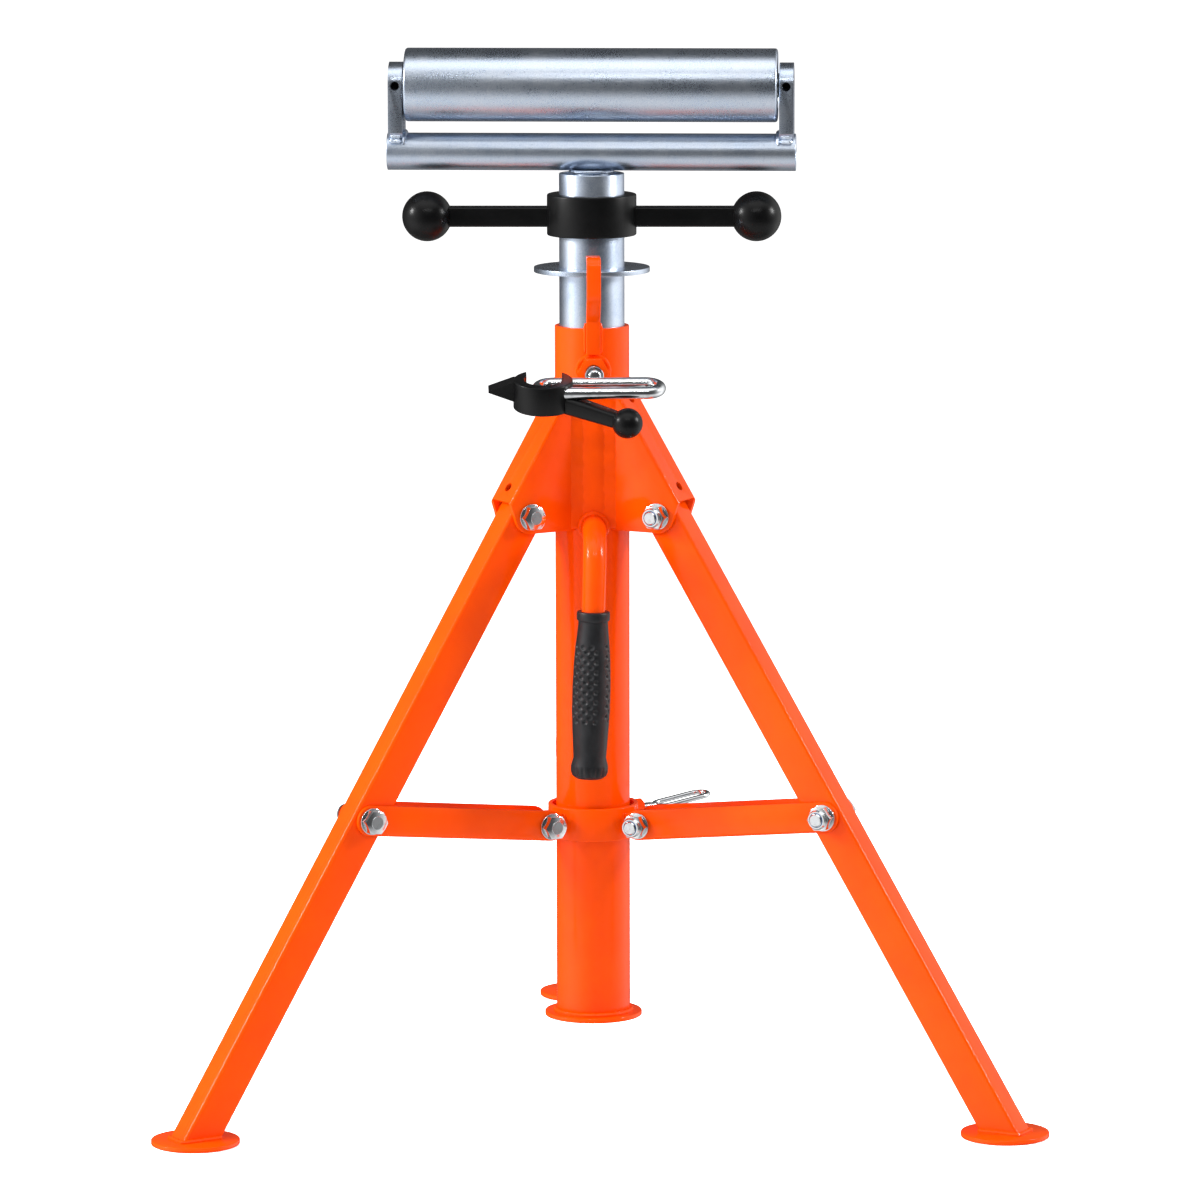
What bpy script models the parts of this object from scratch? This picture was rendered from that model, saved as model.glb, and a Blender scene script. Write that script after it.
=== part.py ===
"""Roller stand: a folding tripod with a screw-raised head that carries a steel roller.

Metres, +Z up, floor at z = 0, the camera side of the stand at -Y.
"""

import math

import bmesh
import bpy
from mathutils import Matrix, Vector

# Clearances
SEAT_GAP = 0.0003
CUT_MARGIN = 0.004
TUBE_EDGE = 0.0006
RING_EDGE = 0.0004

# Post and its base disc
POST_DIAMETER = 0.0508
POST_WALL = 0.0028
POST_BOTTOM = 0.0560
POST_TOP_ABOVE_PIVOT = 0.1266
BASE_DISC_DIAMETER = 0.0670
BASE_DISC_THICKNESS = 0.0032

# Legs: a rectangular tube on a pivot beside the post, and a round foot
LEG_AZIMUTHS = {"right": 330.0, "back": 90.0, "left": 210.0}
PIVOT_RADIUS = 0.0575
PIVOT_HEIGHT = 0.4055
LEG_TILT = math.radians(32.5)
LEG_WIDTH = 0.0200
LEG_DEPTH = 0.0250
LEG_WALL = 0.0020
LEG_CORNER = 0.0025
LEG_ABOVE_PIVOT = 0.0090
FOOT_DIAMETER = 0.0596
FOOT_THICKNESS = 0.0033
FOOT_EDGE = 0.0005

# Leg brackets: folded channels welded to the post, whose web stops the leg
BRACKET_WALL = 0.0030
BRACKET_SIDE_PLAY = 0.0005
BRACKET_WEB_PLAY = 0.0032
BRACKET_LOBE = 0.0116
BRACKET_WEB_END = 0.0010
BRACKET_MOUTH = 0.0023
BRACKET_HOLE_DIAMETER = 0.0064
BRACKET_HOLE_INSET = 0.0105
BRACKET_SLOPE_INSET = 0.0090

# Bolts, washers and locking nuts of all the pivots
BOLT_DIAMETER = 0.0095
BOLT_HEX = 0.0150
HEAD_THICKNESS = 0.0060
NUT_THICKNESS = 0.0062
NUT_COLLAR = 0.0030
NUT_COLLAR_DIAMETER = 0.0135
WASHER_DIAMETER = 0.0182
WASHER_THICKNESS = 0.0015
BOLT_END = 0.0012
HEX_CHAMFER = 0.0007

# Braces between the sliding collar and the legs
BRACE_ON_LEG = 0.2340
BRACE_DEPTH = 0.0210
BRACE_WALL = 0.0025
BRACE_SIDE_PLAY = 0.0006
BRACE_RISE = 0.017647
BRACE_WEB_FROM_COLLAR = 0.0160
BRACE_WEB_FROM_LEG = 0.0560

# Sliding collar with three pairs of ears
COLLAR_DIAMETER = 0.0620
COLLAR_WALL = 0.0030
COLLAR_HEIGHT = 0.0225
EAR_PIVOT_RADIUS = 0.0415
EAR_PIVOT_ABOVE_BOTTOM = 0.0115
EAR_WALL = 0.0030
EAR_LOBE = 0.0070
EAR_PLAY = 0.0004
EAR_ROOT_INSET = 0.0035

# Collar lock: a small screw with a wire loop
LOCK_AZIMUTH = math.radians(30.0)
LOCK_ABOVE_BOTTOM = 0.0150
LOCK_DIAMETER = 0.0060
LOCK_HEX = 0.0110
LOCK_NUT_THICKNESS = 0.0080
LOCK_STEM_END = 0.0520
LOCK_WIRE = 0.0036
LOCK_LOOP_LENGTH = 0.0420
LOCK_LOOP_WIDTH = 0.0150
LOCK_LOOP_RISE = math.radians(7.0)
LOCK_WIRE_OVERLAP = 0.0012

# Mast: the turning sleeve in the post, its flange and the nut at its top
MAST_DIAMETER = 0.0445
MAST_WALL = 0.0027
MAST_ABOVE_HUB = 0.0141
MAST_IN_POST = 0.2321
FLANGE_DIAMETER = 0.0790
FLANGE_THICKNESS = 0.0034
FLANGE_ABOVE_POST = 0.0399
MAST_NUT_HEIGHT = 0.0340
MAST_NUT_DEPTH = 0.0060

# Black T-handle that turns the mast
HANDLE_TURN = math.radians(-3.0)
HUB_DIAMETER = 0.0610
HUB_ABOVE_FLANGE = 0.0216
HUB_HEIGHT = 0.0281
HUB_CORNER = 0.0022
ARM_HEIGHT = 0.0138
ARM_DEPTH = 0.0120
ARM_EDGE = 0.0016
ARM_BELOW_MIDDLE = 0.0014
KNOB_DIAMETER = 0.0341
KNOB_REACH = 0.1120
ARM_IN_KNOB = 0.0080

# Head: cross tube, lugs, axle and roller
HEAD_TURN = math.radians(-5.2)
STEM_DIAMETER = 0.0280
STEM_LENGTH = 0.3150
STEM_CHAMFER = 0.0020
CROSS_TUBE_DIAMETER = 0.0254
CROSS_TUBE_WALL = 0.0025
CROSS_TUBE_PAST_LUG = 0.0015
CROSS_TUBE_ABOVE_MAST = 0.0017
LUG_SPAN = 0.2556
LUG_THICKNESS = 0.0096
LUG_WIDTH = 0.0300
LUG_ABOVE_AXLE = 0.0155
LUG_FOOT_ABOVE_TUBE = 0.0065
AXLE_ABOVE_TUBE = 0.0454
AXLE_DIAMETER = 0.0120
AXLE_CHAMFER = 0.0006
SET_SCREW_DIAMETER = 0.0055
SET_SCREW_INSET = 0.0045
ROLLER_DIAMETER = 0.0500
ROLLER_WALL = 0.0040
ROLLER_END_GAP = 0.00135
ROLLER_CORNER = 0.0012
BEARING_WIDTH = 0.0120
BEARING_INSET = 0.0004
SPACER_DIAMETER = 0.0166
SPACER_EDGE = 0.0003

# Retaining hook that keeps the flange down
HOOK_WIDTH = 0.0096
HOOK_THICKNESS = 0.0045
HOOK_BELOW_POST_TOP = 0.0172
HOOK_STRAIGHT_RISE = 0.0059
HOOK_JOGGLE_RISE = 0.0229
HOOK_ABOVE_FLANGE = 0.0102
HOOK_FLANGE_PLAY = 0.0020
HOOK_LIP = 0.0110
HOOK_BEND = 0.0050

# Mast clamp: weld nut, screw with its loop, and the cast lever on the loop
CLAMP_BELOW_POST_TOP = 0.0289
CLAMP_DIAMETER = 0.0104
CLAMP_NUT_HEX = 0.0190
CLAMP_NUT_THICKNESS = 0.0110
LOOP_ROD = 0.0085
LOOP_LENGTH = 0.0904
LOOP_BARS_APART = 0.0200
LOOP_BACK_BAR = 0.0560
LOOP_DROOP = math.radians(12.0)
LOOP_SHIFT = 0.0026
LOOP_BELOW_AXIS = 0.0048
LEVER_EYE_X = -0.0376
LEVER_EYE_DIAMETER = 0.0400
LEVER_EYE_BORE = 0.0250
LEVER_EYE_TOP = 0.0067
LEVER_EYE_HEIGHT = 0.0200
LEVER_NOTCH_DEPTH = 0.0113
LEVER_NOTCH_LEFT = 0.0110
LEVER_NOTCH_RIGHT = 0.0130
LEVER_TAIL_REACH = 0.0368
LEVER_TAIL_WIDTH = 0.0130
LEVER_TAIL_BACK = 0.0025
LEVER_TAIL_HEIGHT = 0.0135
LEVER_TAIL_TIP_DROP = 0.0067
LEVER_TAIL_TIP = 0.0008
LEVER_TAIL_DROP = 0.0010
LEVER_EDGE = 0.0008
LEVER_ARM_DROP = 0.0148
LEVER_ARM_ROOT = 0.0126
LEVER_ARM_TIP = 0.0102
LEVER_BALL_DIAMETER = 0.0206
LEVER_BALL_PLACE = (0.0560, -0.0250, -0.0163)

# Carry handle: a bent rod with a rubber grip on its lower end
CARRY_ROD = 0.0160
CARRY_ROOT_BELOW_PIVOT = 0.0090
CARRY_STANDOFF = 0.0670
CARRY_BEND = 0.0260
CARRY_LEAN = math.radians(1.6)
GRIP_BELOW_ROOT = 0.0517
GRIP_LENGTH = 0.1144
GRIP_END_WALL = 0.0030
GRIP_RIM_RADIUS = 0.0112
GRIP_BELLY_RADIUS = 0.0129
GRIP_WAIST_RADIUS = 0.0113
GRIP_FLARE_RADIUS = 0.0126
GRIP_EDGE = 0.0010
GRIP_RIM_HEIGHT = 0.0060
GRIP_NECK_BELOW_TOP = 0.0100
GRIP_NECK_SWELL = 0.0004
GRIP_NECK_END = 0.0230
GRIP_BELLY_START = 0.0480
GRIP_BELLY_END = 0.0686
GRIP_WAIST_HEIGHT = 0.0160
GRIP_FLARE_TOP = 0.0090
GRIP_FLARE_BOTTOM = 0.0040
GRIP_END_CHAMFER = 0.0030

# Facets
ROUND = 32
TINY_ROUND = 8
SMALL_ROUND = 12
MIDDLE_ROUND = 20
WIDE_ROUND = 40
SHARP_ANGLE = math.radians(35)
MERGE_DISTANCE = 0.00001

# Sizes worked out from the ones above
POST_RADIUS = POST_DIAMETER / 2
POST_BORE = POST_RADIUS - POST_WALL
POST_TOP = PIVOT_HEIGHT + POST_TOP_ABOVE_PIVOT
CLAMP_HEIGHT = POST_TOP - CLAMP_BELOW_POST_TOP
HOOK_BOTTOM = POST_TOP - HOOK_BELOW_POST_TOP
HOOK_STRAIGHT_TOP = POST_TOP + HOOK_STRAIGHT_RISE
HOOK_JOGGLE_TOP = POST_TOP + HOOK_JOGGLE_RISE
FLANGE_TOP = POST_TOP + FLANGE_ABOVE_POST
HOOK_TOP = FLANGE_TOP + HOOK_ABOVE_FLANGE
HUB_BOTTOM = FLANGE_TOP + HUB_ABOVE_FLANGE
MAST_TOP = HUB_BOTTOM + HUB_HEIGHT + MAST_ABOVE_HUB
MAST_BOTTOM = POST_TOP - MAST_IN_POST
CROSS_TUBE_HEIGHT = MAST_TOP + CROSS_TUBE_ABOVE_MAST + CROSS_TUBE_DIAMETER / 2
CROSS_TUBE_LENGTH = LUG_SPAN + 2 * (LUG_THICKNESS + CROSS_TUBE_PAST_LUG)
AXLE_HEIGHT = CROSS_TUBE_HEIGHT + AXLE_ABOVE_TUBE
LUG_TOP = AXLE_HEIGHT + LUG_ABOVE_AXLE
CARRY_ROOT_HEIGHT = PIVOT_HEIGHT - CARRY_ROOT_BELOW_PIVOT
GRIP_TOP = CARRY_ROOT_HEIGHT - GRIP_BELOW_ROOT
GRIP_BOTTOM = GRIP_TOP - GRIP_LENGTH
COLLAR_RADIUS = COLLAR_DIAMETER / 2
MAST_RADIUS = MAST_DIAMETER / 2
BRACKET_INSIDE = LEG_WIDTH / 2 + BRACKET_SIDE_PLAY
BRACKET_OUTSIDE = BRACKET_INSIDE + BRACKET_WALL
BRACE_INSIDE = LEG_WIDTH / 2 + BRACE_SIDE_PLAY
BRACE_OUTSIDE = BRACE_INSIDE + BRACE_WALL
WEB_INNER = LEG_DEPTH / 2 + BRACKET_WEB_PLAY
WEB_OUTER = WEB_INNER + BRACKET_WALL
EAR_OUTSIDE = BRACE_INSIDE - EAR_PLAY
FOOT_REACH = PIVOT_RADIUS + (PIVOT_HEIGHT - FOOT_THICKNESS) * math.tan(LEG_TILT)
LEG_LENGTH = (PIVOT_HEIGHT - FOOT_THICKNESS - SEAT_GAP) / math.cos(LEG_TILT)
LEG_JOINT_RADIUS = PIVOT_RADIUS + BRACE_ON_LEG * math.sin(LEG_TILT)
LEG_JOINT_HEIGHT = PIVOT_HEIGHT - BRACE_ON_LEG * math.cos(LEG_TILT)
BRACE_RUN = LEG_JOINT_RADIUS - EAR_PIVOT_RADIUS
EAR_PIVOT_HEIGHT = LEG_JOINT_HEIGHT - BRACE_RISE
COLLAR_BOTTOM = EAR_PIVOT_HEIGHT - EAR_PIVOT_ABOVE_BOTTOM
BRACE_LENGTH = math.hypot(BRACE_RUN, BRACE_RISE)
BRACE_SLOPE = math.atan2(BRACE_RISE, BRACE_RUN)
BOLT_HOLE = BOLT_DIAMETER / 2 + SEAT_GAP
ROLLER_LENGTH = LUG_SPAN - 2 * ROLLER_END_GAP
# The post's axis lies in front of the middle of the footprint, so the origin is centred under the stand.
BACK_REACH = FOOT_REACH + FOOT_DIAMETER / 2
FRONT_REACH = FOOT_REACH / 2 + FOOT_DIAMETER / 2
POST_AXIS_Y = (FRONT_REACH - BACK_REACH) / 2

ORANGE = ("orange_paint", (0.92, 0.10, 0.01), 0.32, 0.0)
ZINC = ("zinc_plate", (0.62, 0.65, 0.72), 0.32, 1.0)
BRIGHT = ("bright_zinc", (0.80, 0.81, 0.82), 0.18, 1.0)
BLACK = ("black_gloss", (0.015, 0.015, 0.016), 0.25, 0.0)
RUBBER = ("black_rubber", (0.03, 0.03, 0.032), 0.75, 0.0)
BEARING = ("dark_steel", (0.10, 0.10, 0.11), 0.40, 0.6)


def clear_scene():
    """Removes the start scene's objects."""
    for thing in list(bpy.data.objects):
        bpy.data.objects.remove(thing, do_unlink=True)


def collection(name):
    """A collection of the scene, by name."""
    group = bpy.data.collections.new(name)
    bpy.context.scene.collection.children.link(group)
    return group


def material(kind):
    """A Principled material from a name, colour, roughness and metallic value."""
    name, colour, roughness, metallic = kind
    found = bpy.data.materials.get(name)
    if found:
        return found
    made = bpy.data.materials.new(name)
    made.use_nodes = True
    shader = made.node_tree.nodes["Principled BSDF"]
    shader.inputs["Base Color"].default_value = (*colour, 1.0)
    shader.inputs["Roughness"].default_value = roughness
    shader.inputs["Metallic"].default_value = metallic
    made.diffuse_color = (*colour, 1.0)
    return made


def own_material(kind, name):
    """A copy of a finish for one object."""
    made = material(kind).copy()
    made.name = name + "_" + kind[0]
    return made


def add_object(name, mesh, parent=None, at=(0, 0, 0), turn=(0, 0, 0), kind=None):
    """Puts a mesh in the scene as a piece, or as a cutter when it has no finish."""
    thing = bpy.data.objects.new(name, mesh)
    thing.location = at
    thing.rotation_euler = turn
    thing.parent = parent
    if kind is None:
        CUTTERS.objects.link(thing)
        thing.hide_render = True
        thing.display_type = "WIRE"
    else:
        PIECES.objects.link(thing)
        thing.data.materials.clear()
        thing.data.materials.append(own_material(kind, name))
        mesh.shade_smooth()
        mesh.set_sharp_from_angle(angle=SHARP_ANGLE)
    return thing


def empty(name, at=(0, 0, 0), turn=(0, 0, 0), parent=None):
    """An empty that carries pieces, on their joint's axis where they move."""
    thing = bpy.data.objects.new(name, None)
    thing.location = at
    thing.rotation_euler = turn
    thing.parent = parent
    thing.empty_display_size = 0.02
    PIECES.objects.link(thing)
    return thing


def mesh_from(bm, name):
    """Turns a bmesh into a mesh with outward faces."""
    bmesh.ops.recalc_face_normals(bm, faces=bm.faces[:])
    mesh = bpy.data.meshes.new(name)
    bm.to_mesh(mesh)
    bm.free()
    return mesh


def cylinder_mesh(name, radius, low, high, sides=ROUND):
    """A cylinder along Z from low to high."""
    bm = bmesh.new()
    bmesh.ops.create_cone(
        bm, cap_ends=True, segments=sides, radius1=radius, radius2=radius, depth=high - low
    )
    bmesh.ops.translate(bm, verts=bm.verts[:], vec=(0, 0, (low + high) / 2))
    return mesh_from(bm, name)


def turned_mesh(name, profile, sides=ROUND, closed=True):
    """A solid of revolution about Z from (radius, height) points.

    A closed profile is a ring's section. An open one starts and ends on the axis.
    """
    mesh = bpy.data.meshes.new(name + "_profile")
    points = [(radius, 0.0, height) for radius, height in profile]
    edges = [(i, i + 1) for i in range(len(points) - 1)]
    if closed:
        edges.append((len(points) - 1, 0))
    mesh.from_pydata(points, edges, [])
    guide = bpy.data.objects.new(name + "_guide", mesh)
    bpy.context.scene.collection.objects.link(guide)
    screw = guide.modifiers.new("turn", "SCREW")
    screw.steps = sides
    screw.render_steps = sides
    screw.use_merge_vertices = True
    screw.merge_threshold = MERGE_DISTANCE
    solid = evaluated_mesh(guide, name)
    bpy.data.objects.remove(guide, do_unlink=True)
    bm = bmesh.new()
    bm.from_mesh(solid)
    bmesh.ops.remove_doubles(bm, verts=bm.verts[:], dist=MERGE_DISTANCE)
    bpy.data.meshes.remove(solid)
    return mesh_from(bm, name)


def evaluated_mesh(thing, name):
    """The mesh of an object with its modifiers or curve bevel applied, in its own space."""
    graph = bpy.context.evaluated_depsgraph_get()
    mesh = bpy.data.meshes.new_from_object(thing.evaluated_get(graph))
    mesh.name = name
    return mesh


def curve_mesh(name, curve):
    """Makes a curve a closed mesh."""
    guide = bpy.data.objects.new(name + "_guide", curve)
    bpy.context.scene.collection.objects.link(guide)
    raw = evaluated_mesh(guide, name)
    bpy.data.objects.remove(guide, do_unlink=True)
    bm = bmesh.new()
    bm.from_mesh(raw)
    bmesh.ops.remove_doubles(bm, verts=bm.verts[:], dist=MERGE_DISTANCE)
    bpy.data.meshes.remove(raw)
    return mesh_from(bm, name)


def outline_mesh(name, outlines, low, high):
    """A plate along Z from low to high, from one outline and any holes in it."""
    curve = bpy.data.curves.new(name, "CURVE")
    curve.dimensions = "2D"
    curve.fill_mode = "BOTH"
    curve.extrude = (high - low) / 2
    for outline in outlines:
        spline = curve.splines.new("POLY")
        spline.points.add(len(outline) - 1)
        spline.use_cyclic_u = True
        for point, (x, y) in zip(spline.points, outline):
            point.co = (x, y, 0.0, 1.0)
    mesh = curve_mesh(name, curve)
    mesh.transform(Matrix.Translation((0, 0, (low + high) / 2)))
    return mesh


def rod_mesh(name, points, diameter, cyclic=False, around=3):
    """A round rod along a line of points."""
    curve = bpy.data.curves.new(name, "CURVE")
    curve.dimensions = "3D"
    curve.bevel_depth = diameter / 2
    curve.bevel_resolution = around
    curve.use_fill_caps = not cyclic
    spline = curve.splines.new("POLY")
    spline.points.add(len(points) - 1)
    spline.use_cyclic_u = cyclic
    for point, place in zip(spline.points, points):
        point.co = (*place, 1.0)
    return curve_mesh(name, curve)


def arc(centre, radius, start, end, steps):
    """Points of an arc in the plane, angles in degrees."""
    angles = [math.radians(start + (end - start) * i / steps) for i in range(steps + 1)]
    return [(centre[0] + radius * math.cos(a), centre[1] + radius * math.sin(a)) for a in angles]


def rounded_rectangle(width, height, radius, steps=2):
    """A rectangle's outline with round corners."""
    x, y = width / 2 - radius, height / 2 - radius
    return (
        arc((x, y), radius, 0, 90, steps)
        + arc((-x, y), radius, 90, 180, steps)
        + arc((-x, -y), radius, 180, 270, steps)
        + arc((x, -y), radius, 270, 360, steps)
    )


def cut(piece, cutter, keep="DIFFERENCE"):
    """Cuts a piece with a cutter, or joins the cutter to it."""
    modifier = piece.modifiers.new("cut", "BOOLEAN")
    modifier.operation = keep
    modifier.object = cutter
    modifier.solver = "EXACT"
    return piece


def hole(piece, radius, low, high, parent, at=(0, 0, 0), turn=(0, 0, 0), sides=SMALL_ROUND):
    """Drills a round hole along the local Z of a place."""
    mesh = cylinder_mesh(piece.name + "_drill", radius, low, high, sides)
    return cut(piece, add_object(piece.name + "_drill", mesh, parent, at, turn))


def hex_mesh(name, across_flats, low, high, chamfer=HEX_CHAMFER):
    """A hexagonal prism along Z with its upper corners turned off."""
    bm = bmesh.new()
    radius = across_flats / math.sqrt(3)
    bmesh.ops.create_cone(
        bm, cap_ends=True, segments=6, radius1=radius, radius2=radius, depth=high - low
    )
    bmesh.ops.translate(bm, verts=bm.verts[:], vec=(0, 0, (low + high) / 2))
    top = [f for f in bm.faces if f.normal.z > 0.9]
    rim = bmesh.ops.inset_region(bm, faces=top, thickness=chamfer, use_even_offset=True)
    inner = {v for f in top for v in f.verts}
    outer = {v for f in rim["faces"] for v in f.verts} - inner
    bmesh.ops.translate(bm, verts=list(outer), vec=(0, 0, -chamfer))
    return mesh_from(bm, name)


def ring_profile(outer, inner, low, high, corner=RING_EDGE):
    """A ring's section with its outer corners broken."""
    return [
        (outer - corner, high),
        (outer, high - corner),
        (outer, low + corner),
        (outer - corner, low),
        (inner, low),
        (inner, high),
    ]


def bolt(name, parent, at, turn, head_seat, end, kind=BRIGHT):
    """A hexagon bolt along local Z: its washer bears at head_seat and its shank runs to end."""
    radius = BOLT_DIAMETER / 2
    seat = head_seat + SEAT_GAP
    washer_top = seat + WASHER_THICKNESS
    tip = end + HEX_CHAMFER
    body = turned_mesh(
        name,
        [
            (0.0, washer_top),
            (WASHER_DIAMETER / 2, washer_top),
            (WASHER_DIAMETER / 2, seat),
            (radius, seat),
            (radius, tip),
            (radius - HEX_CHAMFER, end),
            (0.0, end),
        ],
        SMALL_ROUND,
        closed=False,
    )
    piece = add_object(name, body, parent, at, turn, kind)
    head = hex_mesh(name + "_head", BOLT_HEX, washer_top - HEX_CHAMFER / 2, washer_top + HEAD_THICKNESS)
    return cut(piece, add_object(name + "_head", head, parent, at, turn), "UNION")


def nut(name, parent, at, turn, seat, bored=True, stub_end=0.0):
    """A locking nut along local -Z with its washer against seat; a blind one holds the bolt's end."""
    washer_face = seat - SEAT_GAP
    hex_top = washer_face - WASHER_THICKNESS
    hex_end = hex_top - NUT_THICKNESS
    collar_end = hex_end - NUT_COLLAR
    tip = collar_end - BOLT_END
    if bored:
        inner = [(0.0, collar_end), (0.0, washer_face)]
    else:
        inner = [
            (BOLT_DIAMETER / 2, collar_end),
            (BOLT_DIAMETER / 2, tip + HEX_CHAMFER),
            (BOLT_DIAMETER / 2 - HEX_CHAMFER, tip),
            (0.0, tip),
            (0.0, stub_end),
            (BOLT_DIAMETER / 2, stub_end),
            (BOLT_DIAMETER / 2, washer_face),
        ]
    section = [
        (WASHER_DIAMETER / 2, washer_face),
        (WASHER_DIAMETER / 2, hex_top),
        (NUT_COLLAR_DIAMETER / 2, hex_top),
        (NUT_COLLAR_DIAMETER / 2, collar_end + HEX_CHAMFER),
        (NUT_COLLAR_DIAMETER / 2 - HEX_CHAMFER, collar_end),
        *inner,
    ]
    piece = add_object(name, turned_mesh(name, section, SMALL_ROUND), parent, at, turn, BRIGHT)
    body = hex_mesh(name + "_hex", BOLT_HEX, hex_end, hex_top + HEX_CHAMFER / 2)
    cut(piece, add_object(name + "_hex", body, parent, at, turn), "UNION")
    if bored:
        hole(piece, BOLT_HOLE, collar_end - CUT_MARGIN, seat + CUT_MARGIN, parent, at, turn)
    return piece


def nut_stack():
    """How far a nut and the bolt's end reach past the seat."""
    return SEAT_GAP + WASHER_THICKNESS + NUT_THICKNESS + NUT_COLLAR + BOLT_END


# A turn that lays a local Z axis along the parent's Y
ALONG_Y = (-math.pi / 2, 0, 0)
# A turn that lays a drawing in X and Y into the parent's X and Z, with its thickness across Y
UPRIGHT = (math.pi / 2, 0, 0)


def build_post(stand):
    """Post tube with the clamp screw's hole, and the disc at its lower end."""
    section = ring_profile(POST_RADIUS, POST_BORE, POST_BOTTOM, POST_TOP, TUBE_EDGE)
    post = add_object("post_tube", turned_mesh("post_tube", section), stand, kind=ORANGE)
    reach = POST_RADIUS + CUT_MARGIN
    hole(post, CLAMP_DIAMETER / 2 + SEAT_GAP, -reach, 0, stand, (0, 0, CLAMP_HEIGHT), ALONG_Y)
    top = POST_BOTTOM - SEAT_GAP
    bottom = top - BASE_DISC_THICKNESS
    disc = ring_profile(BASE_DISC_DIAMETER / 2, POST_BORE / 2, bottom, top)
    add_object("post_base_disc", turned_mesh("post_base_disc", disc), stand, kind=ORANGE)


def on_leg_plane(across, along):
    """A point of the leg's plane, from the pivot: outward across the leg and up along it."""
    sine, cosine = math.sin(LEG_TILT), math.cos(LEG_TILT)
    return (
        PIVOT_RADIUS + across * cosine - along * sine,
        PIVOT_HEIGHT + across * sine + along * cosine,
    )


def along_at_radius(across, radius):
    """How far up the leg's direction a line at this offset reaches a radius from the post's axis."""
    return (PIVOT_RADIUS + across * math.cos(LEG_TILT) - radius) / math.sin(LEG_TILT)


def build_bracket(side, frame):
    """Folded channel: two gusset plates with a lobe round the pivot and a sloping web."""
    name = "leg_bracket_" + side
    inside = POST_RADIUS / 3
    low = PIVOT_HEIGHT - BRACKET_LOBE
    outline = (
        arc((PIVOT_RADIUS, PIVOT_HEIGHT), BRACKET_LOBE, -90, -15, 6)
        + [on_leg_plane(WEB_OUTER, BRACKET_WEB_END)]
        + [on_leg_plane(WEB_OUTER, along_at_radius(WEB_OUTER, inside)), (inside, low)]
    )
    blank = outline_mesh(name, [outline], -BRACKET_OUTSIDE, BRACKET_OUTSIDE)
    bracket = add_object(name, blank, frame, turn=UPRIGHT, kind=ORANGE)
    far = 2 * PIVOT_RADIUS
    pocket = [
        (0, low - far),
        (far, low - far),
        (far, PIVOT_HEIGHT + BRACKET_MOUTH),
        on_leg_plane(WEB_OUTER + CUT_MARGIN, BRACKET_WEB_END),
        on_leg_plane(WEB_INNER, BRACKET_WEB_END),
        on_leg_plane(WEB_INNER, along_at_radius(WEB_INNER, 0)),
    ]
    tool = outline_mesh(name + "_pocket", [pocket], -BRACKET_INSIDE, BRACKET_INSIDE)
    cut(bracket, add_object(name + "_pocket", tool, frame, turn=UPRIGHT))
    cope = cylinder_mesh(name + "_cope", POST_RADIUS + SEAT_GAP, 0, POST_TOP)
    cut(bracket, add_object(name + "_cope", cope, frame))
    reach = BRACKET_OUTSIDE + CUT_MARGIN
    hole(bracket, BOLT_HOLE, -reach, reach, frame, (PIVOT_RADIUS, 0, PIVOT_HEIGHT), ALONG_Y)
    top_along = along_at_radius(WEB_OUTER, POST_RADIUS)
    across = (math.pi / 2 - LEG_TILT) - math.pi
    for along in (BRACKET_WEB_END + BRACKET_HOLE_INSET, top_along - BRACKET_SLOPE_INSET):
        x, z = on_leg_plane(WEB_OUTER, along)
        place = (x, 0, z)
        hole(
            bracket,
            BRACKET_HOLE_DIAMETER / 2,
            -CUT_MARGIN,
            CUT_MARGIN,
            frame,
            place,
            (0, across, 0),
            TINY_ROUND,
        )


def build_leg(side, frame, stand):
    """Rectangular leg tube, drilled for its pivot and cut level at the floor, and the round foot."""
    joint = empty("leg_joint_" + side, (PIVOT_RADIUS, 0, PIVOT_HEIGHT), (0, -LEG_TILT, 0), frame)
    name = "leg_tube_" + side
    inner = (LEG_DEPTH - 2 * LEG_WALL, LEG_WIDTH - 2 * LEG_WALL)
    outlines = [
        rounded_rectangle(LEG_DEPTH, LEG_WIDTH, LEG_CORNER),
        rounded_rectangle(*inner, LEG_CORNER - LEG_WALL),
    ]
    mesh = outline_mesh(name, outlines, -LEG_LENGTH, LEG_ABOVE_PIVOT)
    for vertex in mesh.vertices:
        if vertex.co.z < 0:
            vertex.co.z -= vertex.co.x * math.tan(LEG_TILT)
    leg = add_object(name, mesh, joint, kind=ORANGE)
    reach = LEG_WIDTH
    hole(leg, BOLT_HOLE, -reach, reach, joint, (0, 0, 0), ALONG_Y)
    azimuth = math.radians(LEG_AZIMUTHS[side])
    section = [
        (0.0, FOOT_THICKNESS),
        (FOOT_DIAMETER / 2 - FOOT_EDGE, FOOT_THICKNESS),
        (FOOT_DIAMETER / 2, FOOT_THICKNESS - FOOT_EDGE),
        (FOOT_DIAMETER / 2, 0.0),
        (0.0, 0.0),
    ]
    foot = turned_mesh("foot_disc_" + side, section, closed=False)
    place = (FOOT_REACH * math.cos(azimuth), FOOT_REACH * math.sin(azimuth), 0)
    add_object("foot_disc_" + side, foot, stand, place, kind=ORANGE)


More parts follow.
